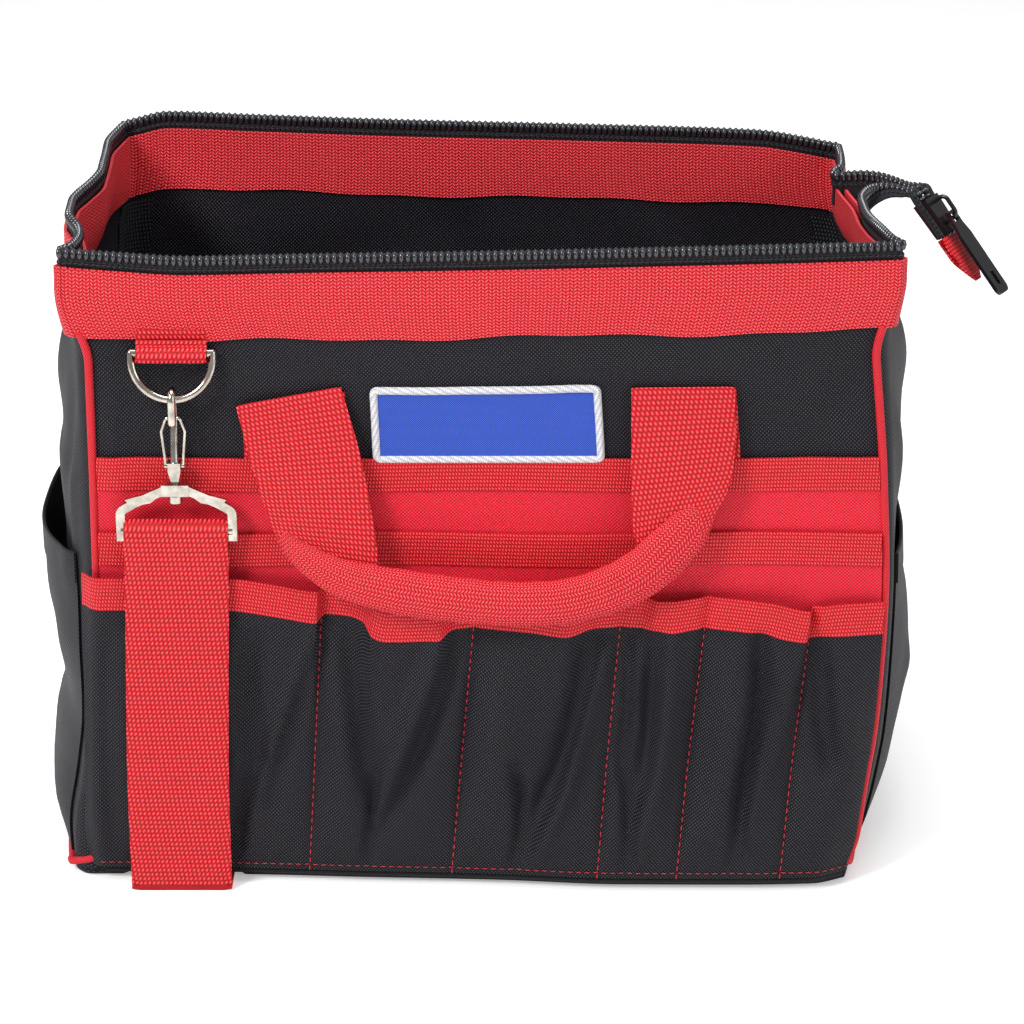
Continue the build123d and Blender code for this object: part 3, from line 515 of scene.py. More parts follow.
def rim_place(side, a):
    """Plan of the rim along one wall: x, y."""
    if side == "front":
        return table(a, (-183, -193), (183, 196)), -105.7 + 0 * a
    if side == "back":
        return table(a, (-183, -180), (183, 180)), table(
            a, (-183, 105.4), (-165, 107.6), (-120, 106.4), (-60, 105.6), (60, 105.2), (183, 104.6)
        )
    if side == "right":
        x = table(
            a, (-105, 196), (-98, 198), (-92, 195), (-70, 191.4), (-45, 188.7), (-20, 187.8),
            (0, 188), (56, 184), (82, 187), (97, 187), (105, 180)
        )
        return x, table(a, (-105, -106.5), (-98, -103), (98, 101), (105, 105))
    x = table(
        a, (-105, 193), (-98, 195), (-86, 190.5), (-66, 188.9), (-48, 191.5), (-32, 197.5),
        (-10, 198.5), (8, 194.1), (26, 190), (52, 190.6), (70, 191.5), (88, 189), (98, 186),
        (105, 180)
    )
    return -x, table(a, (-105, -106.5), (-98, -103), (92, 97), (99, 104), (105, 106))


print("the back of the rim rises by up to", float(rim_lift("back", -166)), "mm")

# %% [markdown]
# Coated canvas is stiff, so it buckles into a few long soft creases where it is pulled. A noise
# would crumple it evenly. So each crease is a short line with a depth and a width, and it fades
# towards its ends and its sides.

# %% Creases
def dents(a, z, *creases):
    """Soft ridges and hollows: each crease runs from (a, z) to (a, z) with a depth and a width."""
    total = 0.0
    for a0, z0, a1, z1, depth, width in creases:
        run = np.array([a1 - a0, z1 - z0])
        t = np.clip(((a - a0) * run[0] + (z - z0) * run[1]) / (run @ run), 0, 1)
        away = np.hypot(a - a0 - t * run[0], z - z0 - t * run[1])
        total = total + depth * np.exp(-((away / width) ** 2)) * np.sin(math.pi * (0.12 + 0.76 * t))
    return total


WALL_CREASES = {
    "front": [
        (-165, 282, -120, 236, -2.2, 9), (-178, 270, -172, 200, 1.6, 7),
        (-60, 284, -20, 258, 1.6, 9), (20, 283, 60, 240, -1.8, 10), (110, 284, 170, 226, 2.0, 10),
        (180, 270, 150, 232, -2.0, 8), (-30, 272, 130, 266, 1.6, 9)
    ],
    "back": [
        (-150, 280, -90, 200, -3, 12), (-20, 285, 30, 200, 2.4, 12), (80, 280, 150, 190, -3, 13),
        (0, 60, 60, 120, 1.4, 14), (-120, 240, -40, 260, 2, 14)
    ],
    "left": [
        (-80, 282, -20, 224, 3.0, 10), (0, 284, 50, 200, -3.5, 13), (80, 280, 30, 232, 2.6, 10),
        (-88, 256, -66, 190, -2.6, 8), (-60, 120, 20, 90, -2.5, 12), (-92, 230, -84, 150, 1.8, 6)
    ],
    "right": [
        (-80, 280, -10, 232, 3.0, 11), (10, 284, 60, 212, -3.2, 12), (70, 230, 20, 190, 2.4, 11),
        (-88, 240, -60, 190, 2.2, 8), (-70, 70, 0, 130, 2.2, 12)
    ],
}


print("creases:", {side: len(creases) for side, creases in WALL_CREASES.items()})

# %% [markdown]
# One function puts these together. Up the wall it blends the seams and bows into the rim, and a
# side wall turns its corner in the last seven millimetres, so that panels meet without a gap.

# %% Where the wall is
def wall(side, a, z, out=0.0):
    """Points of one wall, out mm off it. a is x on the front and back, and y on the sides."""
    a, z, out = (np.array(v, float) for v in np.broadcast_arrays(a, z, out))
    mouth = ease(270, 306, z)
    sag = dents(a, z, *WALL_CREASES[side]) * (1 - mouth)
    rim_x, rim_y = rim_place(side, a)
    if side in ("front", "back"):
        end = -1 if side == "front" else 1
        left, right = -seam(-1, end, z), seam(1, end, z)
        x = left + (right - left) * (a + HALF_WIDTH) / (2 * HALF_WIDTH)
        belly = 0.6 if side == "front" else 3.0
        y = end * (
            HALF_DEPTH + belly * (
                1 - (np.abs(a) / HALF_WIDTH) ** 4
            ) * np.sin(math.pi * z / MOUTH) + sag
        )
        if side == "front":
            y = y - foot_push(a) * (1 - ease(4, 75, z))
        x = x * (1 - mouth) + rim_x * mouth
        y = y * (1 - mouth) + rim_y * mouth + end * out
    else:
        hand = -1 if side == "left" else 1
        end = a / HALF_DEPTH
        corner = np.clip((HALF_DEPTH - np.abs(a)) / 7, 0, 1)
        level = 1 - corner
        rise = np.sqrt(1 - level**2)
        edge = seam(hand, end, z)
        swell = plump(hand, z)
        power = 2.3 + (hand < 0) * 1.2 * (1 - ease(10, 70, z))
        x = edge + swell * rise + (
            bow(hand, z) - edge - swell
        ) * (1 - np.abs(end) ** power) + sag * rise
        y = a.copy()
        x = hand * x * (1 - mouth) + rim_x * mouth + hand * out * rise
        y = y * (1 - mouth) + rim_y * mouth + np.sign(a) * out * level
    return np.stack([x, y, z + rim_lift(side, a) * ease(225, 312, z)], -1)


print("a place on the front wall:", wall("front", 0, 150).round(1).tolist())

# %% [markdown]
# Each panel is cut flat, so its grid is even, with a row every 4 mm, which is fine enough for the
# creases. The side panels have more columns at their ends, where they turn the corner.

# %% The four walls
CORNER = np.array([0, 0.25, 0.8, 1.7, 3, 5, 7])
along_face = np.linspace(-HALF_WIDTH, HALF_WIDTH, 123)
along_side = np.concatenate(
    [CORNER - HALF_DEPTH, np.linspace(-94, 94, 48), HALF_DEPTH - CORNER[::-1]]
)
ALONG = {
    "front": along_face, "right": along_side, "back": along_face[::-1], "left": along_side[::-1]
}
wall_heights = np.concatenate([[3.5], np.arange(6, 306, 4), [MOUTH]])
WALL_THICK = 2.2


def wall_grid(side, heights, out=0.0):
    """Grid of one wall, its columns running round the bag and its rows up."""
    return wall(side, ALONG[side][None, :], np.asarray(heights, float)[:, None], out)


wall_pieces = {}
for side in ("front", "back", "left", "right"):
    cad = f"{side}_panel" if side in ("front", "back") else f"{side}_side_panel"
    grid = wall_grid(side, wall_heights)
    wall_pieces[cad] = cloth(f"{side}_wall_cloth", grid, WALL_THICK, black_canvas)
print("walls:", {k: len(v.data.polygons) for k, v in wall_pieces.items()})

# %% [markdown]
# ## The padded base
#
# The base is a thin foam pad in the same canvas, and the strap presses a shallow channel into it. A
# bevelled box would have crisp edges, so two height fields on one grid, an upper and a lower, give
# it a soft rounded edge and a faint unevenness.

# %% Base pad
base_y = np.concatenate([CORNER - HALF_DEPTH, np.linspace(-94, 94, 41), HALF_DEPTH - CORNER[::-1]])
base_x = np.concatenate(
    [-1 + CORNER / HALF_WIDTH, np.linspace(-0.95, 0.95, 117), 1 - CORNER[::-1] / HALF_WIDTH]
)

left_edge, right_edge = (wall(side, base_y, 6.0)[:, 0] for side in ("left", "right"))
x = left_edge[:, None] + (right_edge - left_edge)[:, None] * (base_x[None, :] + 1) / 2
in_front = np.clip(-base_y / HALF_DEPTH, 0, 1)[:, None] ** 6
y = base_y[:, None] - foot_push(np.clip(x, -HALF_WIDTH, HALF_WIDTH)) * in_front
rim_near = np.minimum(x - left_edge[:, None], right_edge[:, None] - x)
rim_near = np.minimum(rim_near, HALF_DEPTH - np.abs(base_y)[:, None])
rounding = 2.8 * (1 - np.sqrt(1 - (1 - np.clip(rim_near / 4, 0, 1)) ** 2))
channel = 3.5 * (1 - ease(27, 31, np.abs(x - STRAP_X)))
quilt = 0.4 * np.sin(x * 0.06) * np.sin(y * 0.07) * ease(4, 30, rim_near)
top = np.stack([x, y, 6.0 - rounding * 0.6], -1)
bottom = np.stack([x, y, np.maximum(np.maximum(rounding, channel), 0.35 + quilt)], -1)
base_pad = solid("base_pad", top, bottom, black_canvas)
print("base pad:", len(base_pad.data.polygons), "faces")

# %% [markdown]
# ## The mouth
#
# Webbing is folded over the walls' upper edge, so a band shows outside and inside. It is the
# herringbone knit. Each band is a loop that asks the wall where it is and stands a little off it,
# more at the front corners, and its sewn edge wavers, as an edge guided by hand does.

# %% Bands
OUTER_FOOT, INNER_FOOT, BAND_TOP = 283.6, 286.5, 316.2


def loop_grid(heights, out=0.0):
    """Grid that runs right round the bag."""
    sides = [wall_grid(side, heights, out)[:, :-1] for side in ("front", "right", "back", "left")]
    return np.concatenate(sides, 1)


def wave(grid):
    """The slight waver of a band's sewn edge."""
    x, y = grid[..., 0], grid[..., 1]
    return 0.9 * np.sin(x * 0.045 + y * 0.06) + 0.5 * np.sin(x * 0.11)


def flare(grid, amount):
    """Push a band off the bag at its front corners, most at its lower edge."""
    x, y, z = grid[..., 0], grid[..., 1], grid[..., 2]
    near = np.exp(-(((np.abs(x) - 190) / 16) ** 2)) * np.clip(-y / HALF_DEPTH, 0, 1) ** 3
    low = 1 - ease(284, 316, z)
    grid = grid.copy()
    grid[..., 0] += np.sign(x) * near * low * amount
    return grid


outer_heights = np.concatenate([[OUTER_FOOT], np.linspace(285, 315, 13), [BAND_TOP]])
outer_band = flare(loop_grid(outer_heights, 1.9), 1.8)
outer_band[..., 2] += wave(outer_band) * (1 - ease(284, 316, outer_heights))[:, None]
rim_band_outer = cloth("mouth_band_outside", outer_band, 1.5, red_knit, closed=True)
inner_heights = np.concatenate([[INNER_FOOT], np.linspace(288, 315, 12), [BAND_TOP]])
inner_band = loop_grid(inner_heights)
inner_band -= outward(inner_band, True) * 2.6
inner_band[..., 2] += 0.8 * wave(inner_band) * (1 - ease(286, 316, inner_heights))[:, None]
rim_band_inner = cloth("mouth_band_inside", inner_band, 1.4, red_knit, closed=True)
print("bands:", len(rim_band_outer.data.polygons) + len(rim_band_inner.data.polygons), "faces")

# %% [markdown]
# ## The zip
#
# A zip has a tape on each side, and a coil of teeth sewn to each tape's edge. This zip is open, so
# the tapes stand up all round the mouth, one on the front half and one on the back half. At the
# right end both leave the rim, bend out of the bag and meet in the slider. The line of the teeth is
# one smooth line in space for each half, and the tape hangs from it.

# %% Lines of the zip's two halves
TAIL = np.array([222.0, 18.0, 313.5])
TAIL_X = np.array([0.5567, -0.3214, -0.7660])
TAIL_Y = np.array([0.5, 0.8660, 0.0])
TAIL_Z = np.array([0.6634, -0.3830, 0.6428])
CHAIN_Z = 322.5


def tail(x, y, z=0.0):
    """A place in the zip's tail: down it, across it, and off its face."""
    return TAIL + x * TAIL_X + y * TAIL_Y + z * TAIL_Z


def rim_line(side, a, z):
    """Points of the rim half way through the wall."""
    return wall(side, a, z, -WALL_THICK / 2)


left_front = rim_line(
    "left", [-0.2, -10, -20, -32, -40, -48, -57, -66, -76, -86, -93, -98, -101.5, -104], CHAIN_Z
)
front_run = rim_line("front", np.linspace(-181, 181, 60), CHAIN_Z)
right_front = rim_line("right", [-104, -101.5, -98, -92, -81, -70, -58, -45, -32], CHAIN_Z)
front_free = np.array(
    [
        (187.6, -16, 320.2), (188.4, 0, 319.4), (192.5, 15, 318.6), (198, 23.5, 318),
        (204, 25.5, 317.6), (209, 24, 317.4), (214, 20, 317)
    ]
)
right_back = rim_line("right", [78, 86, 92, 96, 99, 101.5, 104], CHAIN_Z)[::-1]
back_run = rim_line("back", np.linspace(-181, 181, 60), CHAIN_Z)
left_back = rim_line("left", [0.2, 12, 26, 39, 52, 61, 70, 79, 88, 93, 98, 101.5, 104], CHAIN_Z)
back_free = np.array(
    [
        (184, 66, 316.2), (180, 58, 316), (180.6, 51.5, 316.2), (187, 50, 316.8),
        (194, 48.2, 317.6), (201, 44.6, 317.8), (208, 37, 317.6), (215, 29, 317)
    ]
)
in_tail = [(-6, 3.3), (-1, 3.3), (10, 2.6), (20.5, 2.4)]
front_tail, back_tail = (np.array([tail(x, hand * y) for x, y in in_tail]) for hand in (-1, 1))
zip_lines = {
    "front": np.vstack([left_front, front_run, right_front, front_free, front_tail]),
    "back": np.vstack([left_back, back_run, right_back, back_free, back_tail]),
}
# A real coil turns about every 1.5 mm. That is too fine to show, so it is drawn twice as coarse.
TOOTH_PITCH = 3.1
zip_paths = {}
for half, line in zip_lines.items():
    length = np.linalg.norm(np.diff(line, axis=0), axis=1).sum()
    zip_paths[half] = smooth_line(line, int(length / TOOTH_PITCH * 2))
    print(half, "half of the zip:", round(length), "mm")

# %% [markdown]
# The tape hangs straight down along the rim. Where it runs free it turns, until it lies flat in the
# tail with its edge outwards. The direction from the teeth to the tape's other edge is blended from
# down to sideways along the last stretch.

# %% Tapes
TAPE_WIDTH, TAIL_TAPE_WIDTH, TAPE_THICK = 15.5, 8.2, 0.9
TAPE_FROM_TEETH = 0.4
TURN_STARTS, TURN_ENDS = 68, 27        # lengths left to the tape's end, in mm


def tape_grid(half):
    """Grid of one tape: rows from its free edge to its teeth, columns along the zip."""
    path = zip_paths[half]
    steps = np.linalg.norm(np.diff(path, axis=0, append=path[-1:]), axis=1)
    flat = 1 - ease(TURN_ENDS, TURN_STARTS, np.cumsum(steps[::-1])[::-1])
    side = TAIL_Y if half == "back" else -TAIL_Y
    down = (1 - flat)[:, None] * np.array([0, 0, -1.0]) + flat[:, None] * side
    down /= np.linalg.norm(down, axis=1, keepdims=True)
    width = TAPE_WIDTH - (TAPE_WIDTH - TAIL_TAPE_WIDTH) * flat - TAPE_FROM_TEETH
    spread = TAPE_FROM_TEETH + np.linspace(0, 1, 8)[:, None, None] * width[None, :, None]
    return (path[None] + down[None] * spread)[::-1]


zip_tapes = {}
for half, way in (("front", 1), ("back", -1)):
    zip_tapes[half] = strip(
        f"zip_tape_{half}_half", tape_grid(half)[:, ::way], TAPE_THICK, black_tape
    )
print("zip tapes:", [len(t.data.polygons) for t in zip_tapes.values()])

# %% [markdown]
# ## Teeth by Geometry Nodes
#
# A coil zip has hundreds of equal turns of nylon, which is what instances are for. The tree takes a
# line as a curve, samples it every pitch, and stands one small rounded block on each point. Its
# inputs are the sizes that a maker would ask for. Realize Instances and Set Material come last,
# because other programs read only real geometry.

# %% A tree that sets blocks along a curve
def along_tree(name):
    """Geometry Nodes: a rounded block repeated along a curve, long across it."""
    tree = bpy.data.node_groups.new(name, "GeometryNodeTree")
    face = tree.interface
    face.new_socket("Geometry", in_out="OUTPUT", socket_type="NodeSocketGeometry")
    face.new_socket("Geometry", in_out="INPUT", socket_type="NodeSocketGeometry")
    for size in ("Pitch", "Length", "Width", "Thickness"):
        face.new_socket(size, in_out="INPUT", socket_type="NodeSocketFloat").default_value = 0.003
    face.new_socket("Finish", in_out="INPUT", socket_type="NodeSocketMaterial")
    given = tree.nodes.new("NodeGroupInput").outputs
    line = {"Curve": given["Geometry"], "Length": given["Pitch"]}
    points = node(tree, "GeometryNodeCurveToPoints", line, mode="LENGTH")
    size = node(tree, "ShaderNodeCombineXYZ", (given["Width"], given["Length"], given["Thickness"]))
    block = node(tree, "GeometryNodeMeshCube", {"Size": size})
    shape = node(tree, "GeometryNodeSubdivisionSurface", {"Mesh": block, "Level": 1})
    stood = {"Points": points, "Instance": shape, "Rotation": points.outputs["Rotation"]}
    real = node(
        tree, "GeometryNodeRealizeInstances", (node(tree, "GeometryNodeInstanceOnPoints", stood),)
    )
    smooth = node(tree, "GeometryNodeSetShadeSmooth", (real,))
    dressed = node(
        tree, "GeometryNodeSetMaterial", {"Geometry": smooth, "Material": given["Finish"]}
    )
    tree.links.new(dressed.outputs[0], tree.nodes.new("NodeGroupOutput").inputs[0])
    return tree


def repeat_along(name, lines, material, **sizes):
    """Run the tree on lines of points, with sizes in mm, and keep the result as a plain mesh."""
    curve = bpy.data.curves.new(name + "_line", "CURVE")
    curve.dimensions, curve.twist_mode = "3D", "Z_UP"
    for line in lines:
        spline = curve.splines.new("POLY")
        spline.points.add(len(line) - 1)
        spline.points.foreach_set("co", np.hstack([line * MM, np.ones((len(line), 1))]).ravel())
    holder = bpy.data.objects.new(name + "_line", curve)
    bpy.context.scene.collection.objects.link(holder)
    modifier = holder.modifiers.new("along", "NODES")
    modifier.node_group = block_tree
    values = {"Finish": material, **{size: value * MM for size, value in sizes.items()}}
    for socket in block_tree.interface.items_tree:
        if socket.in_out == "INPUT" and socket.name in values:
            modifier[socket.identifier] = values[socket.name]
    seen = holder.evaluated_get(bpy.context.evaluated_depsgraph_get())
    mesh = bpy.data.meshes.new_from_object(seen)
    bpy.data.objects.remove(holder)
    mesh.name = name
    mesh.materials.clear()
    return place(name, mesh, material, 60)


block_tree = along_tree("rounded blocks along a line")
print(
    "inputs of the tree:", [s.name for s in block_tree.interface.items_tree if s.in_out == "INPUT"]
)

# %% [markdown]
# The coil is extruded nylon, shiny and almost black, so lamps leave a small bright spot on every
# turn. It turns about a core of cord, and a second cord, knitted, sews it to the tape. The finish
# is a plain one with a fine speckle, and the same short recipe serves thread, enamel, metal, board
# and paper later.

# %% Teeth and their cords
def speckled(name, shades, scale, rough, detail=2.0, spots=(0, 1), texture="ShaderNodeTexNoise"):
    """A finish that wanders between two shades. Also gives its tree, shader, place and grain."""
    material, tree, shader = finish(name)
    here = node(tree, "ShaderNodeTexCoord").outputs["Object"]
    grain = node(tree, texture, {"Vector": here, "Scale": scale, "Detail": detail})
    ramp = node(tree, "ShaderNodeValToRGB", {"Fac": grain})
    for element, code, spot in zip(ramp.color_ramp.elements, shades, spots):
        element.color, element.position = colour(code), spot
    tree.links.new(ramp.outputs[0], shader.inputs["Base Color"])
    shader.inputs["Roughness"].default_value = rough
    return material, tree, shader, here, grain


black_teeth, _, shader, _, _ = speckled("black_teeth", ("101014", "3C3D45"), 900.0, 0.16)
shader.inputs["Specular IOR Level"].default_value = 0.9
CORD_FROM_TEETH, CORD_RADIUS = 4.0, 1.4
CORE_RISE, CORE_RADIUS = np.array([0, 0, 0.9]), 1.25

zip_teeth, zip_cores, zip_cords = {}, {}, {}
for half, path in zip_paths.items():
    zip_teeth[half] = repeat_along(
        f"zip_teeth_{half}_half", [path], black_teeth,
        Pitch=TOOTH_PITCH, Length=7.4, Width=5.6, Thickness=3.5,
    )
    print(half, "teeth:", len(zip_teeth[half].data.polygons), "faces")
    rows = tape_grid(half)
    over = rows[0] - rows[-1]
    sewn = rows[-1] + over * (CORD_FROM_TEETH / np.linalg.norm(over, axis=1))[:, None]
    zip_cords[half] = tube(f"zip_cord_{half}_half", sewn, CORD_RADIUS, black_cord, sides=10)
    zip_cores[half] = tube(
        f"zip_core_{half}_half", path + CORE_RISE, CORE_RADIUS, black_piping, sides=10
    )

# %% [markdown]
# ## Pockets
#
# Three layers lie one on another in front. The two behind are flat red canvas, each bound with a
# folded red binding. They could be cut from the wall's own mesh, but then they would share its
# faces, so each is a sheet of its own that asks the wall where it is and lies a little off it.

# %% Flat pocket layers
POCKET_FOOT, POCKET_END = 8, 181
POCKET_CLOTH, BINDING_CLOTH, BINDING_HEIGHT = 1.0, 0.9, 15.5
TALL_TOP, MIDDLE_TOP = 222.5, 185.0
TALL_OUT, MIDDLE_OUT = 1.6, 3.4
flat_a = np.linspace(-POCKET_END, POCKET_END, 121)


def front_layer(name, top, out, rows):
    """A flat red layer over the front wall, from the pockets' foot up to its top."""
    z = np.linspace(POCKET_FOOT, top, rows)[:, None]
    return cloth(name, wall("front", flat_a[None, :], z, out), POCKET_CLOTH, red_canvas)


def turned_edge(
    name, surface, top, height=BINDING_HEIGHT, thick=BINDING_CLOTH, material=red_binding
):
    """A strip folded over a pocket's edge: up its face, over the edge and a little down behind."""
    grid = [surface(top + step, thick) for step in np.linspace(-height, 0, 9)]
    grid += [surface(top + 0.9, thick * 0.6), surface(top + 1.2, -0.4)]
    return cloth(name, np.array(grid), thick, material)


def flat_edge(out, sway):
    """The face that a flat layer's edge is folded over, a little uneven in height."""
    def surface(z, stand):
        return wall("front", flat_a, z + sway * np.sin(flat_a * 0.037 + out), out + stand)
    return surface


tall_pocket = front_layer("tall_pocket_cloth", TALL_TOP, TALL_OUT, 40)
middle_pocket = front_layer("middle_pocket_cloth", MIDDLE_TOP, MIDDLE_OUT, 30)
tall_binding = turned_edge("tall_pocket_edge", flat_edge(TALL_OUT, 0.5), TALL_TOP)
middle_binding = turned_edge("middle_pocket_edge", flat_edge(MIDDLE_OUT, 0.7), MIDDLE_TOP)
print("flat pockets:", tall_pocket.name, middle_pocket.name)

# %% [markdown]
# The front layer is black, wider than the wall, and sewn down on five slanting lines, so it bells
# out between them. A cloth simulation would fold it where it liked. Here the depth at every place
# comes from how far it is from the nearest seam, and each fold that the photograph shows is a line
# of places with a depth and a width.

# %% Seams, pleats and folds of the front pockets
FRONT_TOP = 154.0
SEAMS_TOP = np.array([-190.0, -75, -1, 69.5, 110.5, 161.5, 193.5])
SEAMS_LOW = np.array([-190.0, -84, -13.6, 58, 97, 148, 180])
# How far each pocket stands off at its mouth: (share across, share of the depth).
PLEATS = [
    [(0, 0.45), (0.4, 0.5), (0.75, 0.75), (0.985, 0.95), (1, 0.05)],
    [(0, 0.05), (0.2, 0.15), (0.34, 0.95), (0.55, 1), (0.78, 0.95), (0.88, 0.25), (1, 0.1)],
    [(0, 0.1), (0.15, 0.4), (0.4, 0.8), (0.62, 1), (0.74, 0.85), (0.84, 0.3), (1, 0.1)],
    [(0, 0.1), (0.25, 0.2), (0.4, 0.85), (0.6, 0.85), (0.9, 0.5), (1, 0.2)],
    [(0, 0.25), (0.15, 0.5), (0.5, 0.75), (0.9, 0.95), (0.985, 1), (1, 0.05)],
    [(0, 0.05), (0.14, 0.5), (0.5, 0.5), (1, 0.25)],
]
# Folds of the cloth: points (x, z) down each one, its depth (negative is a valley), its width.
FOLDS = [
    (
        [(-110, 133), (-112, 106), (-111, 79), (-108, 66)], -3.5, 6
    ), ([(-108, 68), (-115, 47), (-121, 12)], -4.5, 5),
    (
        [(-77, 139), (-86, 117), (-99, 79), (-108, 52), (-118, 14)], 2.8, 4
    ), ([(-78, 127), (-91, 90), (-102, 47)], -1.8, 5),
    ([(-180, 133), (-183, 79), (-181, 19)], -2.2, 6), (
        [(-61, 133), (-59, 101), (-56, 68), (-53, 47)], -3.4, 6
    ),
    ([(-16, 133), (-28, 101), (-41, 68), (-51, 41)], 3.4, 6), (
        [(-10, 130), (-23, 90), (-35, 58), (-49, 30)], -3.4, 5
    ),
    ([(-52, 58), (-54, 30), (-56, 6)], -3.6, 2.6), ([(-68, 127), (-66, 79), (-65, 36)], 1.8, 8),
    ([(15, 122), (10, 90), (5, 47)], 2.8, 14), ([(18, 66), (21, 36), (17, 6)], -4.0, 3),
    ([(33, 58), (26, 36), (19, 12)], -2.2, 4), ([(64, 127), (54, 101), (44, 58), (28, 19)], 3.0, 4),
    (
        [(55, 133), (48, 101), (37, 58), (25, 27)], -3.4, 5
    ), ([(51, 133), (50, 106), (46, 79)], -2.6, 5),
    (
        [(72, 133), (72, 101), (70, 68), (74, 47), (72, 6)], -3.8, 3.4
    ), ([(78, 133), (77, 101), (79, 79)], 1.8, 4),
    (
        [(85, 136), (83, 106), (81, 68), (75, 40)], -4.0, 5
    ), ([(94, 133), (92, 101), (87, 63), (79, 25)], 2.4, 7),
    ([(124, 122), (122, 79), (116, 36)], 2.8, 9), (
        [(136, 133), (136, 101), (133, 77), (129, 47), (127, 19), (120, 6)], -5.0, 4.6
    ),
    (
        [(155, 122), (144, 79), (137, 52), (131, 30)], 3.0, 4
    ), ([(151, 103), (142, 74), (136, 40)], -2.0, 3),
    ([(145, 133), (149, 101)], 1.8, 5), (
        [(164, 133), (166, 101), (172, 63)], -4.0, 5
    ), ([(177, 127), (180, 90), (180, 47)], 2.0, 9),
]


def folded(x, z, folds):
    """Height of the folds at (x, z): each is a soft ridge or valley that fades at its ends."""
    total = np.zeros_like(x)
    for points, depth, width in folds:
        line = smooth_line(points, 24)
        gap = np.hypot(x[..., None] - line[:, 0], z[..., None] - line[:, 1])
        nearest = gap.argmin(-1)
        fade = np.sin(math.pi * (0.08 + 0.84 * nearest / 23)) ** 0.6
        total += depth * fade * np.exp(-((gap.min(-1) / width) ** 2))
    return total


print("front pockets:", len(PLEATS), "with", len(FOLDS), "folds")

# %% [markdown]
# The layer is then laid out column by column. Each column keeps its share of the way between two
# seams, so the columns fan out with the seams and the weave follows the pleats.

# %% The pleated front pockets
def front_top(x):
    """Height of the front pockets' edge, which dips where a pocket stands off."""
    return table(
        x, (-190, 163.5), (
            -121, 164.2
        ), (-98, 161.5), (-76, 158.4), (-73, 161), (-55, 158.6), (-50, 151), (-43, 148.6),
        (-18, 149.4), (
            -12, 153.5
        ), (-1, 153.9), (25, 153.2), (44, 151), (55, 153.5), (69, 154.3), (80, 154), (86, 153),
        (92, 153), (110, 154), (140, 151.7), (
            160.5, 147.8
        ), (163, 148.6), (177, 150.5), (194, 150.7),
    )


COLUMNS = (56, 42, 42, 28, 34, 20)      # columns of each pocket
front_cols = [k + np.linspace(0, 1, n, endpoint=False) for k, n in enumerate(COLUMNS)]
front_cols = np.concatenate(front_cols + [[6.0]])
pocket_of = np.minimum(front_cols.astype(int), 5)
share = front_cols - pocket_of
at_mouth = np.array([np.interp(f, *zip(*PLEATS[k])) for k, f in zip(pocket_of, share)])
lower_down = np.sin(math.pi * np.clip(share, 0.001, 0.999)) ** 0.5
lower_down *= np.array([0.75, 1, 1, 0.9, 1, 0.7])[pocket_of]
left_end, right_end = (pocket_of == 0) & (share < 0.5), (pocket_of == 5) & (share > 0.5)
lower_down = np.where(left_end, 0.7, lower_down)


def front_pocket(z, out=0.0):
    """One row of points of the pleated pockets at height z (one value, or one for each column)."""
    z = np.broadcast_to(np.asarray(z, float), front_cols.shape)
    t = np.clip((z - POCKET_FOOT) / (FRONT_TOP - POCKET_FOOT), 0, 1.1)
    left, right = -seam(-1, -1.0, z), seam(1, -1.0, z)
    seams = SEAMS_LOW[:, None] + (SEAMS_TOP - SEAMS_LOW)[:, None] * t
    seams[0], seams[-1] = left - 6, right - 1.0
    column = np.arange(len(front_cols))
    x0, x1 = seams[pocket_of, column], seams[pocket_of + 1, column]
    x = x0 + (x1 - x0) * share
    near = np.minimum(share, 1 - share) * (x1 - x0)
    near = np.where(left_end | right_end, 9, near)
    mouth = ease(0.5, 0.92, t)
    depth = at_mouth * mouth + lower_down * (1 - mouth)
    depth = depth * ease(-0.02, 0.22, t) * (0.7 + 0.3 * ease(0.3, 1, t))
    pinned = (1 - np.exp(-near / 3.0)) * ease(0, 0.08, t)
    sunk = np.exp(-((near / 1.8) ** 2))                       # the seam's own groove
    stand = 5.4 + 6.6 * depth + 1.7 * folded(x, z, FOLDS) * pinned - sunk
    stand = 4.8 + np.logaddexp(0, (stand - 4.8) * 2) / 2      # never into the layer behind
    a = (x - left) / (right - left) * 2 * HALF_WIDTH - HALF_WIDTH
    points = wall("front", np.clip(a, -HALF_WIDTH, HALF_WIDTH), z, stand + out)
    wrap = np.clip((left + 2 - x) / 7, 0, 1)
    points[..., 0] = np.where(x < left, x - wrap, points[..., 0])
    points[..., 1] += wrap**2 * 8
    return points


front_tops = front_top(np.interp(front_cols, np.arange(7), SEAMS_TOP))
front_share = np.concatenate([[0, 0.004, 0.012, 0.03], np.linspace(0.05, 1, 62)])
front_heights = POCKET_FOOT + front_share[:, None] * (front_tops - POCKET_FOOT)
front_grid = np.array([front_pocket(z) for z in front_heights])
front_pockets = cloth("front_pockets_cloth", front_grid, POCKET_CLOTH, black_canvas)
up = np.linspace(-BINDING_HEIGHT, -0.4, 9)
edge_rows = [front_pocket(front_tops + step, BINDING_CLOTH) for step in up]
edge_rows += [front_pocket(front_tops + 0.6, 0.6), front_pocket(front_tops + 0.9, -0.5)]
front_binding = cloth("front_pocket_edge", np.array(edge_rows), BINDING_CLOTH, red_binding)
print("front pockets:", len(front_pockets.data.polygons), "faces")

# %% [markdown]
# The back has one pleated layer with a seam in the middle, and each side has a pouch that stands
# off the wall at its mouth. Only an edge of them is seen, so their shapes are guessed from how such
# bags are sewn, with a few soft creases from the same function that dents the walls.

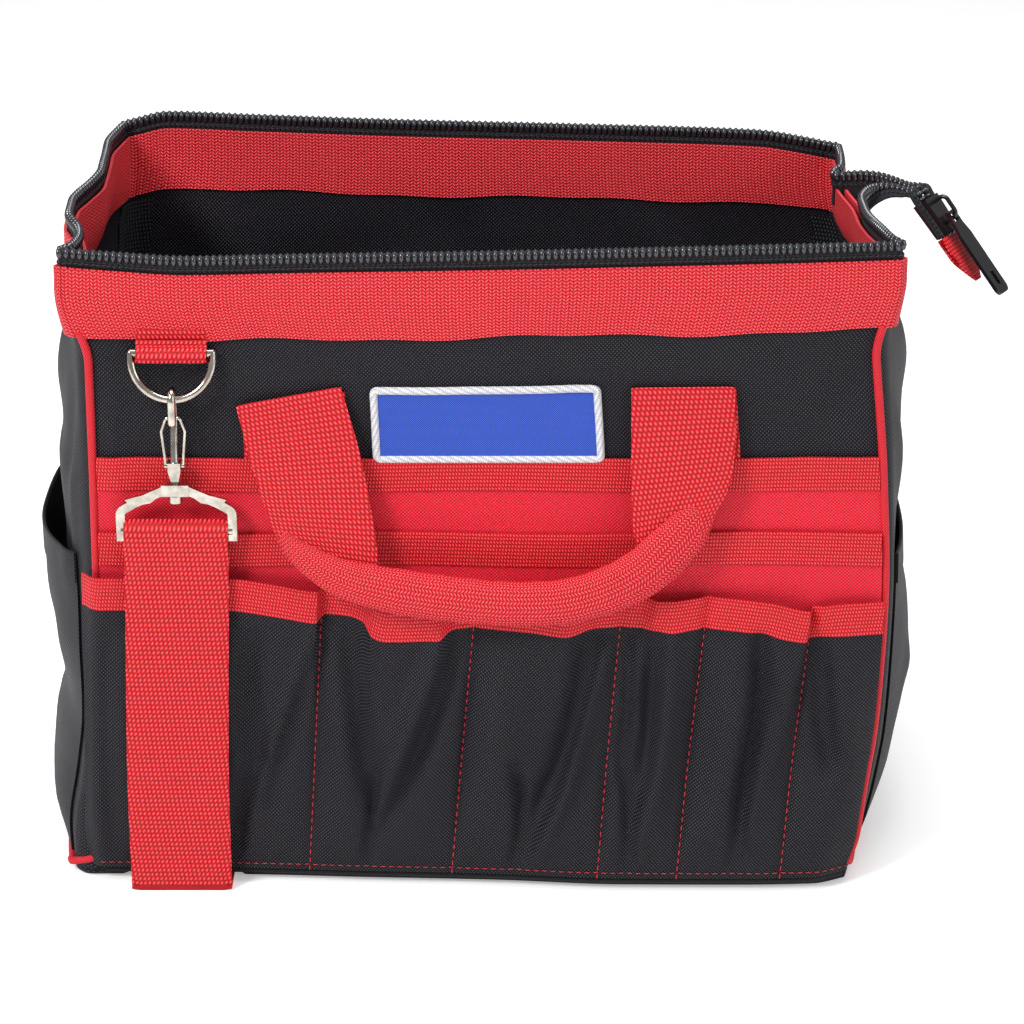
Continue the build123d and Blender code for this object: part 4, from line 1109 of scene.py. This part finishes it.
# %% Back and side pockets
BACK_TOP, SIDE_TOP, SIDE_HALF = 170.0, 168.0, 92.0
HEM_HEIGHT, HEM_CLOTH = 15.0, 0.8
back_a = flat_a[::-1]
side_a = np.concatenate([[-92, -91.5, -90.5, -89], np.linspace(-86, 86, 60), [89, 90.5, 91.5, 92]])
BACK_CREASES = [
    (-120, 150, -80, 40, 1.8, 9), (-30, 150, -60, 60, -1.6, 8),
    (40, 150, 70, 40, 1.8, 8), (130, 150, 110, 60, -1.8, 9),
]
SIDE_CREASES = [
    (-70, 120, -20, 60, 1.8, 10), (20, 150, 50, 60, -2, 10),
    (-30, 40, 30, 90, 2, 12), (60, 120, 30, 40, 1.5, 9),
]


def back_pocket(z, out=0.0):
    """One row of points of the back pockets at height z."""
    t = np.clip((z - POCKET_FOOT) / (BACK_TOP - POCKET_FOOT), 0, 1.1)
    near = np.minimum(np.abs(back_a), POCKET_END - np.abs(back_a))
    bell = (1 - np.exp(-near / 9)) * ease(-0.02, 0.3, t) * (0.6 + 0.4 * ease(0.3, 1, t))
    stand = 1.6 + 6.0 * bell + dents(back_a, z, *BACK_CREASES) * ease(0, 0.15, t)
    return wall("back", back_a, z, stand + out)


def side_pocket(side, z, out=0.0):
    """One row of points of a side pouch at height z."""
    hand = -1 if side == "left" else 1
    a = side_a[::hand]
    t = np.clip((z - POCKET_FOOT) / (SIDE_TOP - POCKET_FOOT), 0, 1.1)
    if hand < 0:
        belly = table(t, (0, 0.3), (0.1, 0.75), (0.3, 0.7), (0.5, 0.5), (0.75, 1.0), (1, 1.1))
    else:
        belly = table(t, (0, 0.1), (0.1, 0.4), (0.3, 0.7), (0.7, 0.8), (0.85, 0.55), (1, 0.4))
    across = np.abs(a / SIDE_HALF)
    creased = dents(a, z, *SIDE_CREASES) * (1 - across**4) * ease(0, 0.2, t)
    stand = 1.4 + 9.5 * (1 - across**3.2) * belly + creased
    sagged = z - 4.0 * (1 - across**2) * ease(0.6, 1, t)
    return wall(side, a, sagged, stand + out)


def pocket_rows(top):
    """Heights of a pocket's rows, closer at its foot."""
    return np.concatenate([[8, 9, 11, 14], np.arange(18, top, 5), [top]])


back_grid = np.array([back_pocket(z) for z in pocket_rows(BACK_TOP)])
back_pockets = cloth("back_pockets_cloth", back_grid, POCKET_CLOTH, black_canvas)
back_binding = turned_edge("back_pocket_edge", back_pocket, BACK_TOP)
side_pockets, side_hems = {}, {}
for side in ("left", "right"):
    pouch = partial(side_pocket, side)
    grid = np.array([pouch(z) for z in pocket_rows(SIDE_TOP)])
    side_pockets[side] = cloth(f"{side}_pouch_cloth", grid, POCKET_CLOTH, black_canvas)
    hem = (f"{side}_pouch_hem", pouch, SIDE_TOP, HEM_HEIGHT, HEM_CLOTH, black_canvas)
    side_hems[side] = turned_edge(*hem)
print("pouches:", list(side_pockets))

# %% [markdown]
# ## Piping and seams
#
# A cord in a sleeve of cloth runs down each corner seam and round the foot. It could be a raised
# line on the wall, but it throws its own shadow. So it is a plain tube on the seam's line, and the
# same wall function places it.

# %% Piping
PIPING_RADIUS = 2.0


def corner_line(hand, face):
    """Line up one corner seam."""
    points = wall(face, hand * HALF_WIDTH, np.linspace(12, 285, 60), 1.0)
    points[:, 0] -= hand * 0.2
    return points


pipings, foot_pipings = {}, {}
for hand, side in ((-1, "left"), (1, "right")):
    foot = wall(side, np.linspace(-99, 99, 40), 5.6, 1.2)
    line = np.vstack([corner_line(hand, "front")[::-1], foot, corner_line(hand, "back")])
    line = smooth_line(line, 420)
    pipings[side] = tube(f"{side}_seam_piping", line, PIPING_RADIUS, red_piping)
for face in ("front", "back"):
    line = wall(face, np.linspace(-POCKET_END, POCKET_END, 90), 5.4, 1.0)
    foot_pipings[face] = tube(f"foot_piping_{face}", line, PIPING_RADIUS, black_piping)
print("pipings:", [*pipings, *foot_pipings])

# %% [markdown]
# Inside, a ribbed tape covers the raw edges of each corner seam. It lies across the corner, so its
# grid is six lines up the bag: three on the end of the long wall and three on the side wall.

# %% Inner seam tapes
TAPE_UP, TAPE_IN = np.linspace(9, 283, 60), -2.5
seam_tapes = []
for side, hand in (("left", -1), ("right", 1)):
    for face, end in (("front", -1), ("back", 1)):
        lines = [wall(face, hand * a, TAPE_UP, TAPE_IN) for a in (172, 176, 179.5)]
        lines += [wall(side, end * a, TAPE_UP, TAPE_IN) for a in (101.3, 97.5, 93)]
        grid = np.array(lines).transpose(1, 0, 2)[:, :: -hand * end]
        seam_tapes.append(cloth(f"inner_seam_tape_{face}_{side}", grid, 0.7, seam_tape))
print("seam tapes:", len(seam_tapes))

# %% [markdown]
# ## Patch
#
# A woven patch sits over the tall pocket. Its field is left plain, a smooth blue weave finer than
# the canvas. Its border is a thick overlocked edge of white thread, which a ribbed tube gives:
# a flat border would lose the small shadow that the thread throws on the wall.

# %% Patch and its stitched border
PATCH_LEFT, PATCH_RIGHT, PATCH_FOOT, PATCH_TOP = -52.8, 54.0, 222.0, 259.0
CORNER_RADIUS, BORDER_RADIUS = 1.5, 1.9
# Woven polyester, real pitch about 0.3 mm, drawn coarser so that it shows at all.
patch_cloth = woven("woven_patch", "1C348E", "2C50C0", "587EE2", (1.1, 1.1), 0.6, bump=0.5)
# Thread laid side by side round the edge by an overlock machine.
overlock = woven(
    "white_overlock", "B9BAC0", "E6E6EA", "FFFFFF", (3.0, 0.75), 0.6, "ribbed", bump=0.9, wear=0.05
)
patch_a = np.linspace(PATCH_LEFT + 2, PATCH_RIGHT - 2, 45)[None, :]
patch_z = np.linspace(PATCH_FOOT, PATCH_TOP - 2, 15)[:, None]
patch = cloth("front_patch_cloth", wall("front", patch_a, patch_z, 1.5), 1.3, patch_cloth)
corners = []
left, right, low, high = PATCH_LEFT + 3, PATCH_RIGHT - 3, PATCH_FOOT + 2.5, PATCH_TOP - 3
for x, z, start in ((right, low, -90), (right, high, 0), (left, high, 90), (left, low, 180)):
    for turn in np.radians(start + np.array([0, 30, 60, 90])):
        corners.append((x + CORNER_RADIUS * math.cos(turn), z + CORNER_RADIUS * math.sin(turn)))
corners = np.array(corners + corners[:1])
gaps = np.concatenate([[0], np.cumsum(np.linalg.norm(np.diff(corners, axis=0), axis=1))])
ring_x, ring_z = (np.interp(np.linspace(0, gaps[-1], 300), gaps, c) for c in corners.T)
ring = wall("front", ring_x, ring_z, 1.2)
patch_edge = tube("front_patch_border", ring, BORDER_RADIUS, overlock, sides=10, ends=False)
print("patch border:", round(gaps[-1]), "mm round")

# %% [markdown]
# ## Handles
#
# One strip of webbing is sewn to the wall, folds forward over its own stitching, and hangs. A strap
# along one middle line would keep its width, but here each leg twists as it goes into the grip. So
# the legs are ruled between the two selvedges that were measured.

# %% Legs
LEAN = math.tan(math.radians(11))
FOLD_Y, FOLD_Z = -107.6, 258


def hang(x, z, off=0.0):
    """A place on the handle's plane, which leans off the front wall from its fold."""
    x, z, off = np.broadcast_arrays(x, z, off)
    return np.stack([x, FOLD_Y - (FOLD_Z - z) * LEAN - off, z], -1)


def leg(name, left, right, bulge):
    """Webbing between two selvedges, given from the fold down as (x, z)."""
    rows = 40
    a, b = smooth_line(left, rows), smooth_line(right, rows)
    t = np.linspace(0, 1, 15)
    flat = a[:, None] * (1 - t)[None, :, None] + b[:, None] * t[None, :, None]
    down = np.linspace(0, 1, rows)[:, None]
    off = bulge * np.sin(math.pi * t)[None, :] * down + 0.5 * np.sin(math.pi * down)
    front = hang(flat[..., 0], flat[..., 1], off)
    fold = front[:1] + np.array([0, 0.35, 0.55])
    back = front[:1] + np.array([0, 1.2, 0.3])
    return strip(name, np.concatenate([front[::-1], fold, back]), 1.5, red_webbing, 0.5)


leg_left = leg(
    "front_handle_leg_left",
    [(-113.4, 249.5), (-105.5, 219.3), (-96.5, 192.4), (-90, 182)],
    [(-63.9, 258.4), (-55.2, 227.2), (-48.6, 190), (-47.5, 174)],
    0.7,
)
leg_right = leg(
    "front_handle_leg_right",
    [(72.3, 257.9), (72.5, 225), (73.2, 198), (76, 178)],
    [(121, 258.4), (121.2, 232), (118.6, 213), (107.5, 190)],
    1.2,
)
print("legs:", leg_left.name, leg_right.name)

# %% [markdown]
# Lower down the webbing is folded in half lengthways and rolled in a knitted sleeve, which makes
# the grip. Its section is a squashed round that is tall in the middle and pinched at the ends, with
# small knobs where the sleeve bunches. Tables give its height and depth along its line.

# %% Grip
grip_line = [
    (-95.0, 193.0, 0.4), (-88, 184.5, 1.2), (-76, 175.6, 2.0), (-62, 169, 2.4), (-47, 165.5, 2.6),
    (-27.5, 162, 2.6), (0, 158.8, 2.6), (20, 157.8, 2.6), (42, 159, 2.6), (62, 164.5, 2.6),
    (80, 174, 2.4), (94, 186.5, 1.6), (104, 197.5, 0.5), (109.5, 204.5, -0.4),
]
grip_middle = smooth_line([tuple(hang(x, z, off - 1.0)) for x, z, off in grip_line], 150)
along_grip = np.linspace(0, 1, 150)
tall = table(
    along_grip, (0, 5), (0.03, 9), (0.09, 15), (0.2, 21.5), (0.3, 24.2), (0.55, 23.6), (0.75, 25),
    (0.86, 25.5), (0.93, 22), (0.975, 15), (1, 8)
)
deep = table(along_grip, (0, 2.4), (0.05, 4), (0.2, 10), (0.3, 12.5), (0.8, 12.5), (0.9, 9), (1, 3))
run = np.gradient(grip_middle, axis=0)
run /= np.linalg.norm(run, axis=1, keepdims=True)
face = np.array([0, -math.cos(math.atan(LEAN)), -math.sin(math.atan(LEAN))])
rise = np.cross(np.broadcast_to(face, run.shape), run)
rise /= np.linalg.norm(rise, axis=1, keepdims=True)
round_ = np.linspace(0, math.tau, 40, endpoint=False)
lean_in = np.sign(np.cos(round_)) * np.abs(np.cos(round_)) ** 0.8
rings = grip_middle[:, None] + (
    rise[:, None] * (np.sin(round_)[None, :, None] * tall[:, None, None] / 2)
    + face[None, None] * (lean_in[None, :, None] * deep[:, None, None] / 2)
)
knobs = 1 + 0.012 * np.sin(along_grip * 90)[:, None, None]
knobbed = grip_middle[:, None] + (rings[:, ::-1] - grip_middle[:, None]) * knobs
grip = skin("front_handle_sleeve", knobbed, red_knit)
print("grip:", len(grip.data.polygons), "faces")

# %% [markdown]
# The anchor is the flat end of the strip, sewn to the wall behind each leg. The back handle isn't
# seen, so it is the front one mirrored.

# %% Anchors, and the back handle
ANCHOR_FOOT = 207
ANCHORS = (("left", -112.5, -64.5, 248.5, 257), ("right", 72, 117, 256.8, 257.2))
anchors = []
for name, left, right, top_left, top_right in ANCHORS:
    a = np.linspace(left, right, 15)
    tops = np.interp(a, [left, right], [top_left, top_right])
    z = ANCHOR_FOOT + np.linspace(0, 1, 14)[:, None] * (tops - ANCHOR_FOOT)
    grid = wall("front", a[None, :], z, 1.5)
    anchors.append(cloth(f"front_handle_anchor_{name}", grid, 1.3, red_webbing))


def mirrored(piece, name):
    """A copy of a piece on the other side of the bag, with its faces turned the right way again."""
    mesh = piece.data.copy()
    points = np.empty(len(mesh.vertices) * 3)
    mesh.vertices.foreach_get("co", points)
    points = points.reshape(-1, 3)
    points[:, 1] *= -1
    mesh.vertices.foreach_set("co", points.ravel())
    mesh.flip_normals()
    copy = bpy.data.objects.new(name, mesh)
    bpy.context.scene.collection.objects.link(copy)
    return copy


handles = {"front": (leg_left, leg_right, grip, *anchors)}
handles["back"] = tuple(mirrored(p, p.name.replace("front", "back")) for p in handles["front"])
print("handle pieces:", sum(map(len, handles.values())))

# %% [markdown]
# ## Ring tabs and the strap
#
# A loop of webbing under the band holds each D-ring. The shoulder strap is two plies sewn together
# in front. It goes round the bail's bar, hangs, passes under the bag and comes up behind as one ply
# through the adjuster. Bending a flat mesh would leave kinks at the bars, so each stretch follows a
# line of measured places in its own plane.

# %% Ring tabs and strap
RING_X, TAB_WIDTH, TAB_THICK = -143.0, 33, 1.3
STRAP_WIDTH, TWO_PLIES, ONE_PLY = 49.5, 2.9, 1.5
TAB_PATH = [
    (109.3, 283.5), (109.9, 280.5), (112.2, 279.4), (113.6, 276.6), (112.6, 273.9),
    (109.6, 273.0), (108.0, 274.5), (107.2, 280), (107.0, 288),
]
FRONT_PATH = [
    (-112.2, 190.5), (-112.6, 193), (-114.6, 194.4), (-117, 193.6), (-118.2, 190.5), (-118.6, 182),
    (-119, 170), (-119.6, 150), (-119.9, 110), (-119.6, 60), (-119.3, 20), (-119, 3),
]
FRONT_END_PATH = [(-111.6, 189), (-112.4, 185.4), (-114.5, 182)]
UNDER_PATH = [
    (y, 1.65)
    for y in (
        *np.linspace(-120.4, -112, 8), *np.linspace(-108, 108, 50), *np.linspace(112, 120.4, 8)
    )
]
BACK_PATH = [
    (119.2, 3), (118.8, 40), (118.4, 70), (118.4, 82), (119.6, 87.2), (122.6, 91.6), (123.0, 96),
    (122.6, 100.4), (119.6, 104.8), (118.4, 110), (118.4, 150), (117.9, 165), (117.6, 182),
    (117.8, 190.5), (117, 193.6), (115, 194.5), (112.8, 193), (112.2, 190),
]
ring_tabs = {}
for end, name in ((-1, "front"), (1, "back")):
    points = smooth_line([(RING_X, end * y, z) for y, z in TAB_PATH], 40)
    ring_tabs[name] = webbing(f"{name}_ring_tab_loop", points, (-end, 0, 0), TAB_WIDTH, TAB_THICK)


def strap_piece(name, path, thick, steps, flip=1):
    """A stretch of the strap, which moves from under the ring to its place under the bag."""
    to_foot = [(STRAP_X - RING_X) * (1 - float(ease(40, 188, z))) for _, z in path]
    places = [(RING_X - 0.4 + shift, y, z) for shift, (y, z) in zip(to_foot, path)]
    return webbing(name, smooth_line(places, steps), (flip, 0, 0), STRAP_WIDTH, thick)


front_strap = strap_piece("shoulder_strap_front", FRONT_PATH, TWO_PLIES, 110)
front_strap_back = strap_piece("shoulder_strap_front_end", FRONT_END_PATH, 1.4, 12)
strap_under = strap_piece("shoulder_strap_under", UNDER_PATH, TWO_PLIES, 90)
back_strap = strap_piece("shoulder_strap_back", BACK_PATH, ONE_PLY, 140, flip=-1)
print("ring tabs:", list(ring_tabs), "and four stretches of strap")

# %% [markdown]
# ## The zip's end
#
# The tapes' cut ends are held in a scrap of red webbing, folded over and narrowed to a blunt tip.

# %% End tab
def tab_shape(face):
    """Grid of one ply: wide where it holds the tapes, and narrowed to its tip."""
    along = np.linspace(20.8, 47.5, 22)
    half = table(along, (20.8, 10.8), (30, 10.9), (36, 9.6), (42, 6.6), (46, 3.8), (47.5, 2.6))
    across = np.linspace(-1, 1, 17)
    lift = 1.7 - 1.1 * ease(30, 47.5, along)
    rows = []
    for x, h, up in zip(along, half, lift):
        off = [up + 0.25 * math.cos(c * 2.2) + 0.1 * math.sin(x * 0.6) for c in across]
        rows.append([tail(x, h * c, face * z) for c, z in zip(across, off)])
    return np.array(rows)


tab_pieces = []
for face, name in ((1, "upper"), (-1, "lower")):
    grid = tab_shape(face)
    n = outward(grid)
    if (n.mean((0, 1)) @ TAIL_Z) * face < 0:
        grid = grid[:, ::-1]
    tab_pieces.append(cloth(f"zip_end_tab_{name}", grid, 1.1, red_binding))
print("end tab plies:", len(tab_pieces))

# %% [markdown]
# ## Stitches by Geometry Nodes
#
# Lines of red thread hold the front pockets down. A stitch is a short rounded grain of thread with
# a gap after it, so the tree that set the teeth also sets these, with a longer pitch.

# %% Stitch lines
red_thread = speckled("red_thread", ("9C0C16", "DE2C38"), 1500.0, 0.5)[0]  # bonded polyester
STITCH_PITCH, OFF_CLOTH = 4.2, 0.35
front_seams = []
for k in range(1, 6):
    column = int(np.argmin(np.abs(front_cols - k)))
    rows = [front_pocket(z, OFF_CLOTH)[column] for z in np.linspace(9, 146, 120)]
    front_seams.append(np.array(rows))
foot_seam = front_pocket(11.0, OFF_CLOTH)[4:]
front_stitches = repeat_along(
    "front_pocket_stitches", front_seams, red_thread,
    Pitch=STITCH_PITCH, Length=0.8, Width=0.8, Thickness=3.4,
)
foot_stitches = repeat_along(
    "front_foot_stitches", [foot_seam], red_thread,
    Pitch=STITCH_PITCH, Length=0.6, Width=0.6, Thickness=3.2,
)
print("stitches:", len(front_stitches.data.polygons), "faces")

# %% [markdown]
# ## Metal and moulded parts
#
# The ring, hook, gate, bail, slider, pull and adjuster keep their CAD shape, which is exact where
# they move on each other. They need only finishes. Nickel plate is bright and slightly warm, with
# fine handling marks that spread its highlights. Baked enamel over zinc is black with the faint
# ripple of orange peel. The board under the pad is matt, with a leathery grain.

# %% Metal finishes
def raised(tree, shader, height, strength, distance):
    """Raise a finish's grain a little."""
    bump = {"Height": height, "Strength": strength, "Distance": distance}
    tree.links.new(node(tree, "ShaderNodeBump", bump).outputs[0], shader.inputs["Normal"])


nickel, tree, shader, here, cloud = speckled(
    "bright_nickel", ("A19A8D", "D6D1C6"), 160.0, 0.1, 5.0, (0.3, 0.6)
)
brushed = node(tree, "ShaderNodeMapping", {"Vector": here, "Scale": (900, 900, 90)})
marks = node(tree, "ShaderNodeTexNoise", {"Vector": brushed, "Scale": 1.0, "Detail": 3.0})
scuffed = node(tree, MATH, (marks, 0.14, 0.1), operation="MULTIPLY_ADD")
tree.links.new(scuffed.outputs[0], shader.inputs["Roughness"])
raised(tree, shader, cloud, 0.15, 0.0004)
shader.inputs["Metallic"].default_value = 1.0

enamel, tree, shader, _, peel = speckled("black_enamel", ("0C0C0E", "1C1D21"), 500.0, 0.24, 3.0)
raised(tree, shader, peel, 0.1, 0.0002)
board, tree, shader, _, grain = speckled(
    "stiff_board", ("101114", "24262B"), 700.0, 0.75, 0.0, texture="ShaderNodeTexVoronoi"
)
raised(tree, shader, grain, 0.4, 0.0004)

carried = {
    "base_board": board, **dict.fromkeys(("zip_slider", "zip_pull", "strap_adjuster"), enamel)
}
for end in ("front", "back"):
    for part in ("d_ring", "snap_hook", "hook_gate", "strap_bail"):
        carried[f"{end}_{part}"] = nickel
for name, material in carried.items():
    mesh = nodes[name].data
    mesh.materials.clear()
    mesh.materials.append(material)
print("carried over:", len(carried))

# %% [markdown]
# ## What moves with what
#
# Each piece rides on a body of the mechanism, and says which CAD piece it stands for. The strap's
# hanging stretches ride on no body, and keep the place where they were made.

# %% Bodies and replaced pieces
bag_rides = {
    **{piece: cad for cad, piece in wall_pieces.items()},
    base_pad: "base_panel", rim_band_outer: "rim_band_outer", rim_band_inner: "rim_band_inner",
    zip_tapes["front"]: "zip_tape_front", zip_tapes["back"]: "zip_tape_back",
    zip_teeth["front"]: "zip_chain_front", zip_teeth["back"]: "zip_chain_back",
    zip_cords["front"]: None, zip_cords["back"]: None, zip_cores[
        "front"
    ]: None, zip_cores["back"]: None,
    tall_pocket: "tall_pocket_panel", middle_pocket: "middle_pocket_panel",
    tall_binding: "tall_pocket_binding", middle_binding: "middle_pocket_binding",
    front_pockets: "front_pocket_panel", front_binding: "front_pocket_binding",
    back_pockets: "back_pocket_panel", back_binding: "back_pocket_binding",
    side_pockets["left"]: "left_side_pocket_panel", side_pockets[
        "right"
    ]: "right_side_pocket_panel",
    side_hems["left"]: "left_side_pocket_binding", side_hems["right"]: "right_side_pocket_binding",
    pipings["left"]: "left_side_piping", pipings["right"]: "right_side_piping",
    foot_pipings["front"]: "base_piping", foot_pipings["back"]: None,
    patch: "front_patch", patch_edge: None,
    tab_pieces[0]: "zip_end_tab", tab_pieces[1]: None,
    ring_tabs["front"]: "front_ring_tab", ring_tabs["back"]: "back_ring_tab",
    strap_under: "strap_under_run", front_stitches: None, foot_stitches: None,
    handles["front"][3]: "front_handle_anchors", handles["front"][4]: None,
    handles["back"][3]: "back_handle_anchors", handles["back"][4]: None,
    seam_tapes[0]: "inner_seam_bindings", seam_tapes[1]: None, seam_tapes[2]: None, seam_tapes[
        3
    ]: None,
}
for piece, cad in bag_rides.items():
    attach(piece, "bag")
    if cad:
        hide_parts(cad)
for end in ("front", "back"):
    left_leg, right_leg, sleeve = handles[end][:3]
    for piece in (left_leg, right_leg, sleeve):
        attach(piece, f"{end}_handle")
    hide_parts(f"{end}_handle_webbing")
    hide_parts(f"{end}_handle_grip")
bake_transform(front_strap)
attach(front_strap_back, "front_bail")
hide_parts("strap_front_drop")
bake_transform(back_strap)
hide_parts("strap_back_rise")
print("pieces on bodies")

# %% [markdown]
# ## Cloth sizes
#
# Every sheet states the size it was cut to before it was sewn, in metres, how it is held and what
# it rests on, so that a check can compare it with what it became. The pad and the grips are padded,
# and are not in the list.

# %% Sheets
sheets = [
    (piece, (0.235 if "side" in cad else 0.372, 0.31), "hung", ["mouth_band_outside", "base_pad"])
    for cad, piece in wall_pieces.items()
]
sheets += [
    (rim_band_outer, (1.20, 0.033), "stretched", ["front_wall_cloth"]),
    (rim_band_inner, (1.18, 0.030), "stretched", ["front_wall_cloth"]),
    (zip_tapes["front"], (0.70, 0.016), "stretched", ["mouth_band_outside"]),
    (zip_tapes["back"], (0.62, 0.016), "stretched", ["mouth_band_outside"]),
    (tall_pocket, (0.366, 0.215), "stretched", ["front_wall_cloth"]),
    (middle_pocket, (0.366, 0.178), "stretched", ["front_wall_cloth"]),
    (tall_binding, (0.366, 0.018), "folded", ["tall_pocket_cloth"]),
    (middle_binding, (0.366, 0.018), "folded", ["middle_pocket_cloth"]),
    (front_pockets, (0.44, 0.15), "gathered", ["middle_pocket_cloth"]),
    (front_binding, (0.44, 0.018), "folded", ["front_pockets_cloth"]),
    (back_pockets, (0.38, 0.165), "gathered", ["back_wall_cloth"]),
    (back_binding, (0.38, 0.018), "folded", ["back_pockets_cloth"]),
    (patch, (0.104, 0.035), "laid", ["front_wall_cloth"]),
    (front_strap, (0.05, 0.2), "hung", ["front_strap_bail"]),
    (front_strap_back, (0.05, 0.01), "folded", ["front_strap_bail"]),
    (strap_under, (0.05, 0.241), "laid", ["base_pad"]),
    (back_strap, (0.05, 0.205), "hung", ["back_strap_bail"]),
]
sheets += [(tape, (0.021, 0.275), "laid", ["front_wall_cloth"]) for tape in seam_tapes]
for side in ("left", "right"):
    sheets.append((side_pockets[side], (0.205, 0.163), "gathered", [f"{side}_wall_cloth"]))
    sheets.append((side_hems[side], (0.205, 0.018), "folded", [f"{side}_pouch_cloth"]))
for end in ("front", "back"):
    left_leg, right_leg, sleeve, left_anchor, right_anchor = handles[end]
    sheets += [
        (left_leg, (0.05, 0.08), "hung", [left_anchor.name]),
        (right_leg, (0.05, 0.085), "hung", [right_anchor.name]),
        (left_anchor, (0.05, 0.048), "laid", [f"{end}_wall_cloth"]),
        (right_anchor, (0.05, 0.052), "laid", [f"{end}_wall_cloth"]),
        (ring_tabs[end], (0.033, 0.036), "folded", [f"{end}_d_ring"]),
    ]
for piece, flat, held, rests_on in sheets:
    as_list(rests_on)
print("sheets:", len(sheets) + len(tab_pieces))

# %% [markdown]
# ## Stage
#
# The bag stands on white paper in soft studio light. The backdrop is the world's colour, which only
# the camera and clear things see at full strength, so it adds little light of its own. The camera
# stands where the photograph was taken from: far off with a long lens, a little above.

# %% Floor and backdrop
FLOOR_HALF = 6
floor_mesh = bpy.data.meshes.new("floor")
floor_corners = [
    (x * FLOOR_HALF, y * FLOOR_HALF, 0) for x, y in ((-1, -1), (1, -1), (1, 1), (-1, 1))
]
floor_mesh.from_pydata(floor_corners, [], [(0, 1, 2, 3)])
floor = bpy.data.objects.new("floor", floor_mesh)
bpy.context.scene.collection.objects.link(floor)
# Matt backdrop paper. It glows a little to the camera alone, so that it reads as pure white.
paper, tree, shader, _, _ = speckled("white_paper", ("FBFBFB", "FFFFFF"), 60.0, 0.9)
to_camera = node(tree, "ShaderNodeLightPath").outputs["Is Camera Ray"]
glow = node(tree, MATH, (to_camera, 0.35), operation="MULTIPLY")
shader.inputs["Emission Color"].default_value = (1, 1, 1, 1)
tree.links.new(glow.outputs[0], shader.inputs["Emission Strength"])
floor_mesh.materials.append(paper)

DIM, FULL = 0.34, 1.0          # the backdrop as a lamp, and as the camera sees it
world = bpy.data.worlds.new("studio")
bpy.context.scene.world = world
world.use_nodes = True
sky = world.node_tree
path = node(sky, "ShaderNodeLightPath").outputs
seen = (path["Is Camera Ray"], path["Is Transmission Ray"])
seen = node(sky, MATH, seen, operation="MAXIMUM")
strength = node(sky, MATH, (seen, FULL - DIM, DIM), operation="MULTIPLY_ADD")
background = sky.nodes["Background"]
background.inputs["Color"].default_value = (1, 1, 1, 1)
sky.links.new(strength.outputs[0], background.inputs["Strength"])
print("backdrop:", world.name)

# %% [markdown]
# A small key lamp on the left gives the edges of the pockets their shadows, a wide fill on the
# right keeps them soft, and a wide lamp overhead lights the inside of the bag.

# %% Lamps and camera
def lamp(name, place, aim, size, power):
    """A soft square lamp that looks at a point."""
    data = bpy.data.lights.new(name, "AREA")
    data.shape, data.size, data.energy = "SQUARE", size, power
    holder = bpy.data.objects.new(name, data)
    bpy.context.scene.collection.objects.link(holder)
    holder.location = place
    holder.rotation_euler = (Vector(aim) - Vector(place)).to_track_quat("-Z", "Y").to_euler()


lamp("key_light", (-1.3, -1.3, 1.6), (0, 0, 0.15), 0.7, 36)
lamp("fill_light", (1.7, -1.1, 0.9), (0, 0, 0.15), 1.2, 10)
lamp("top_light", (0.1, -0.1, 2.2), (0, 0, 0.2), 1.2, 28)

camera_data = bpy.data.cameras.new("camera")
camera_data.lens, camera_data.sensor_width = 119.53, 36
camera = bpy.data.objects.new("camera", camera_data)
camera.location = (0.0162, -1.6118, 0.7981)
camera.rotation_euler = (math.radians(68.2), 0, 0)
bpy.context.scene.collection.objects.link(camera)
bpy.context.scene.camera = camera
bpy.context.scene.view_settings.view_transform = "Standard"
print("stage set")
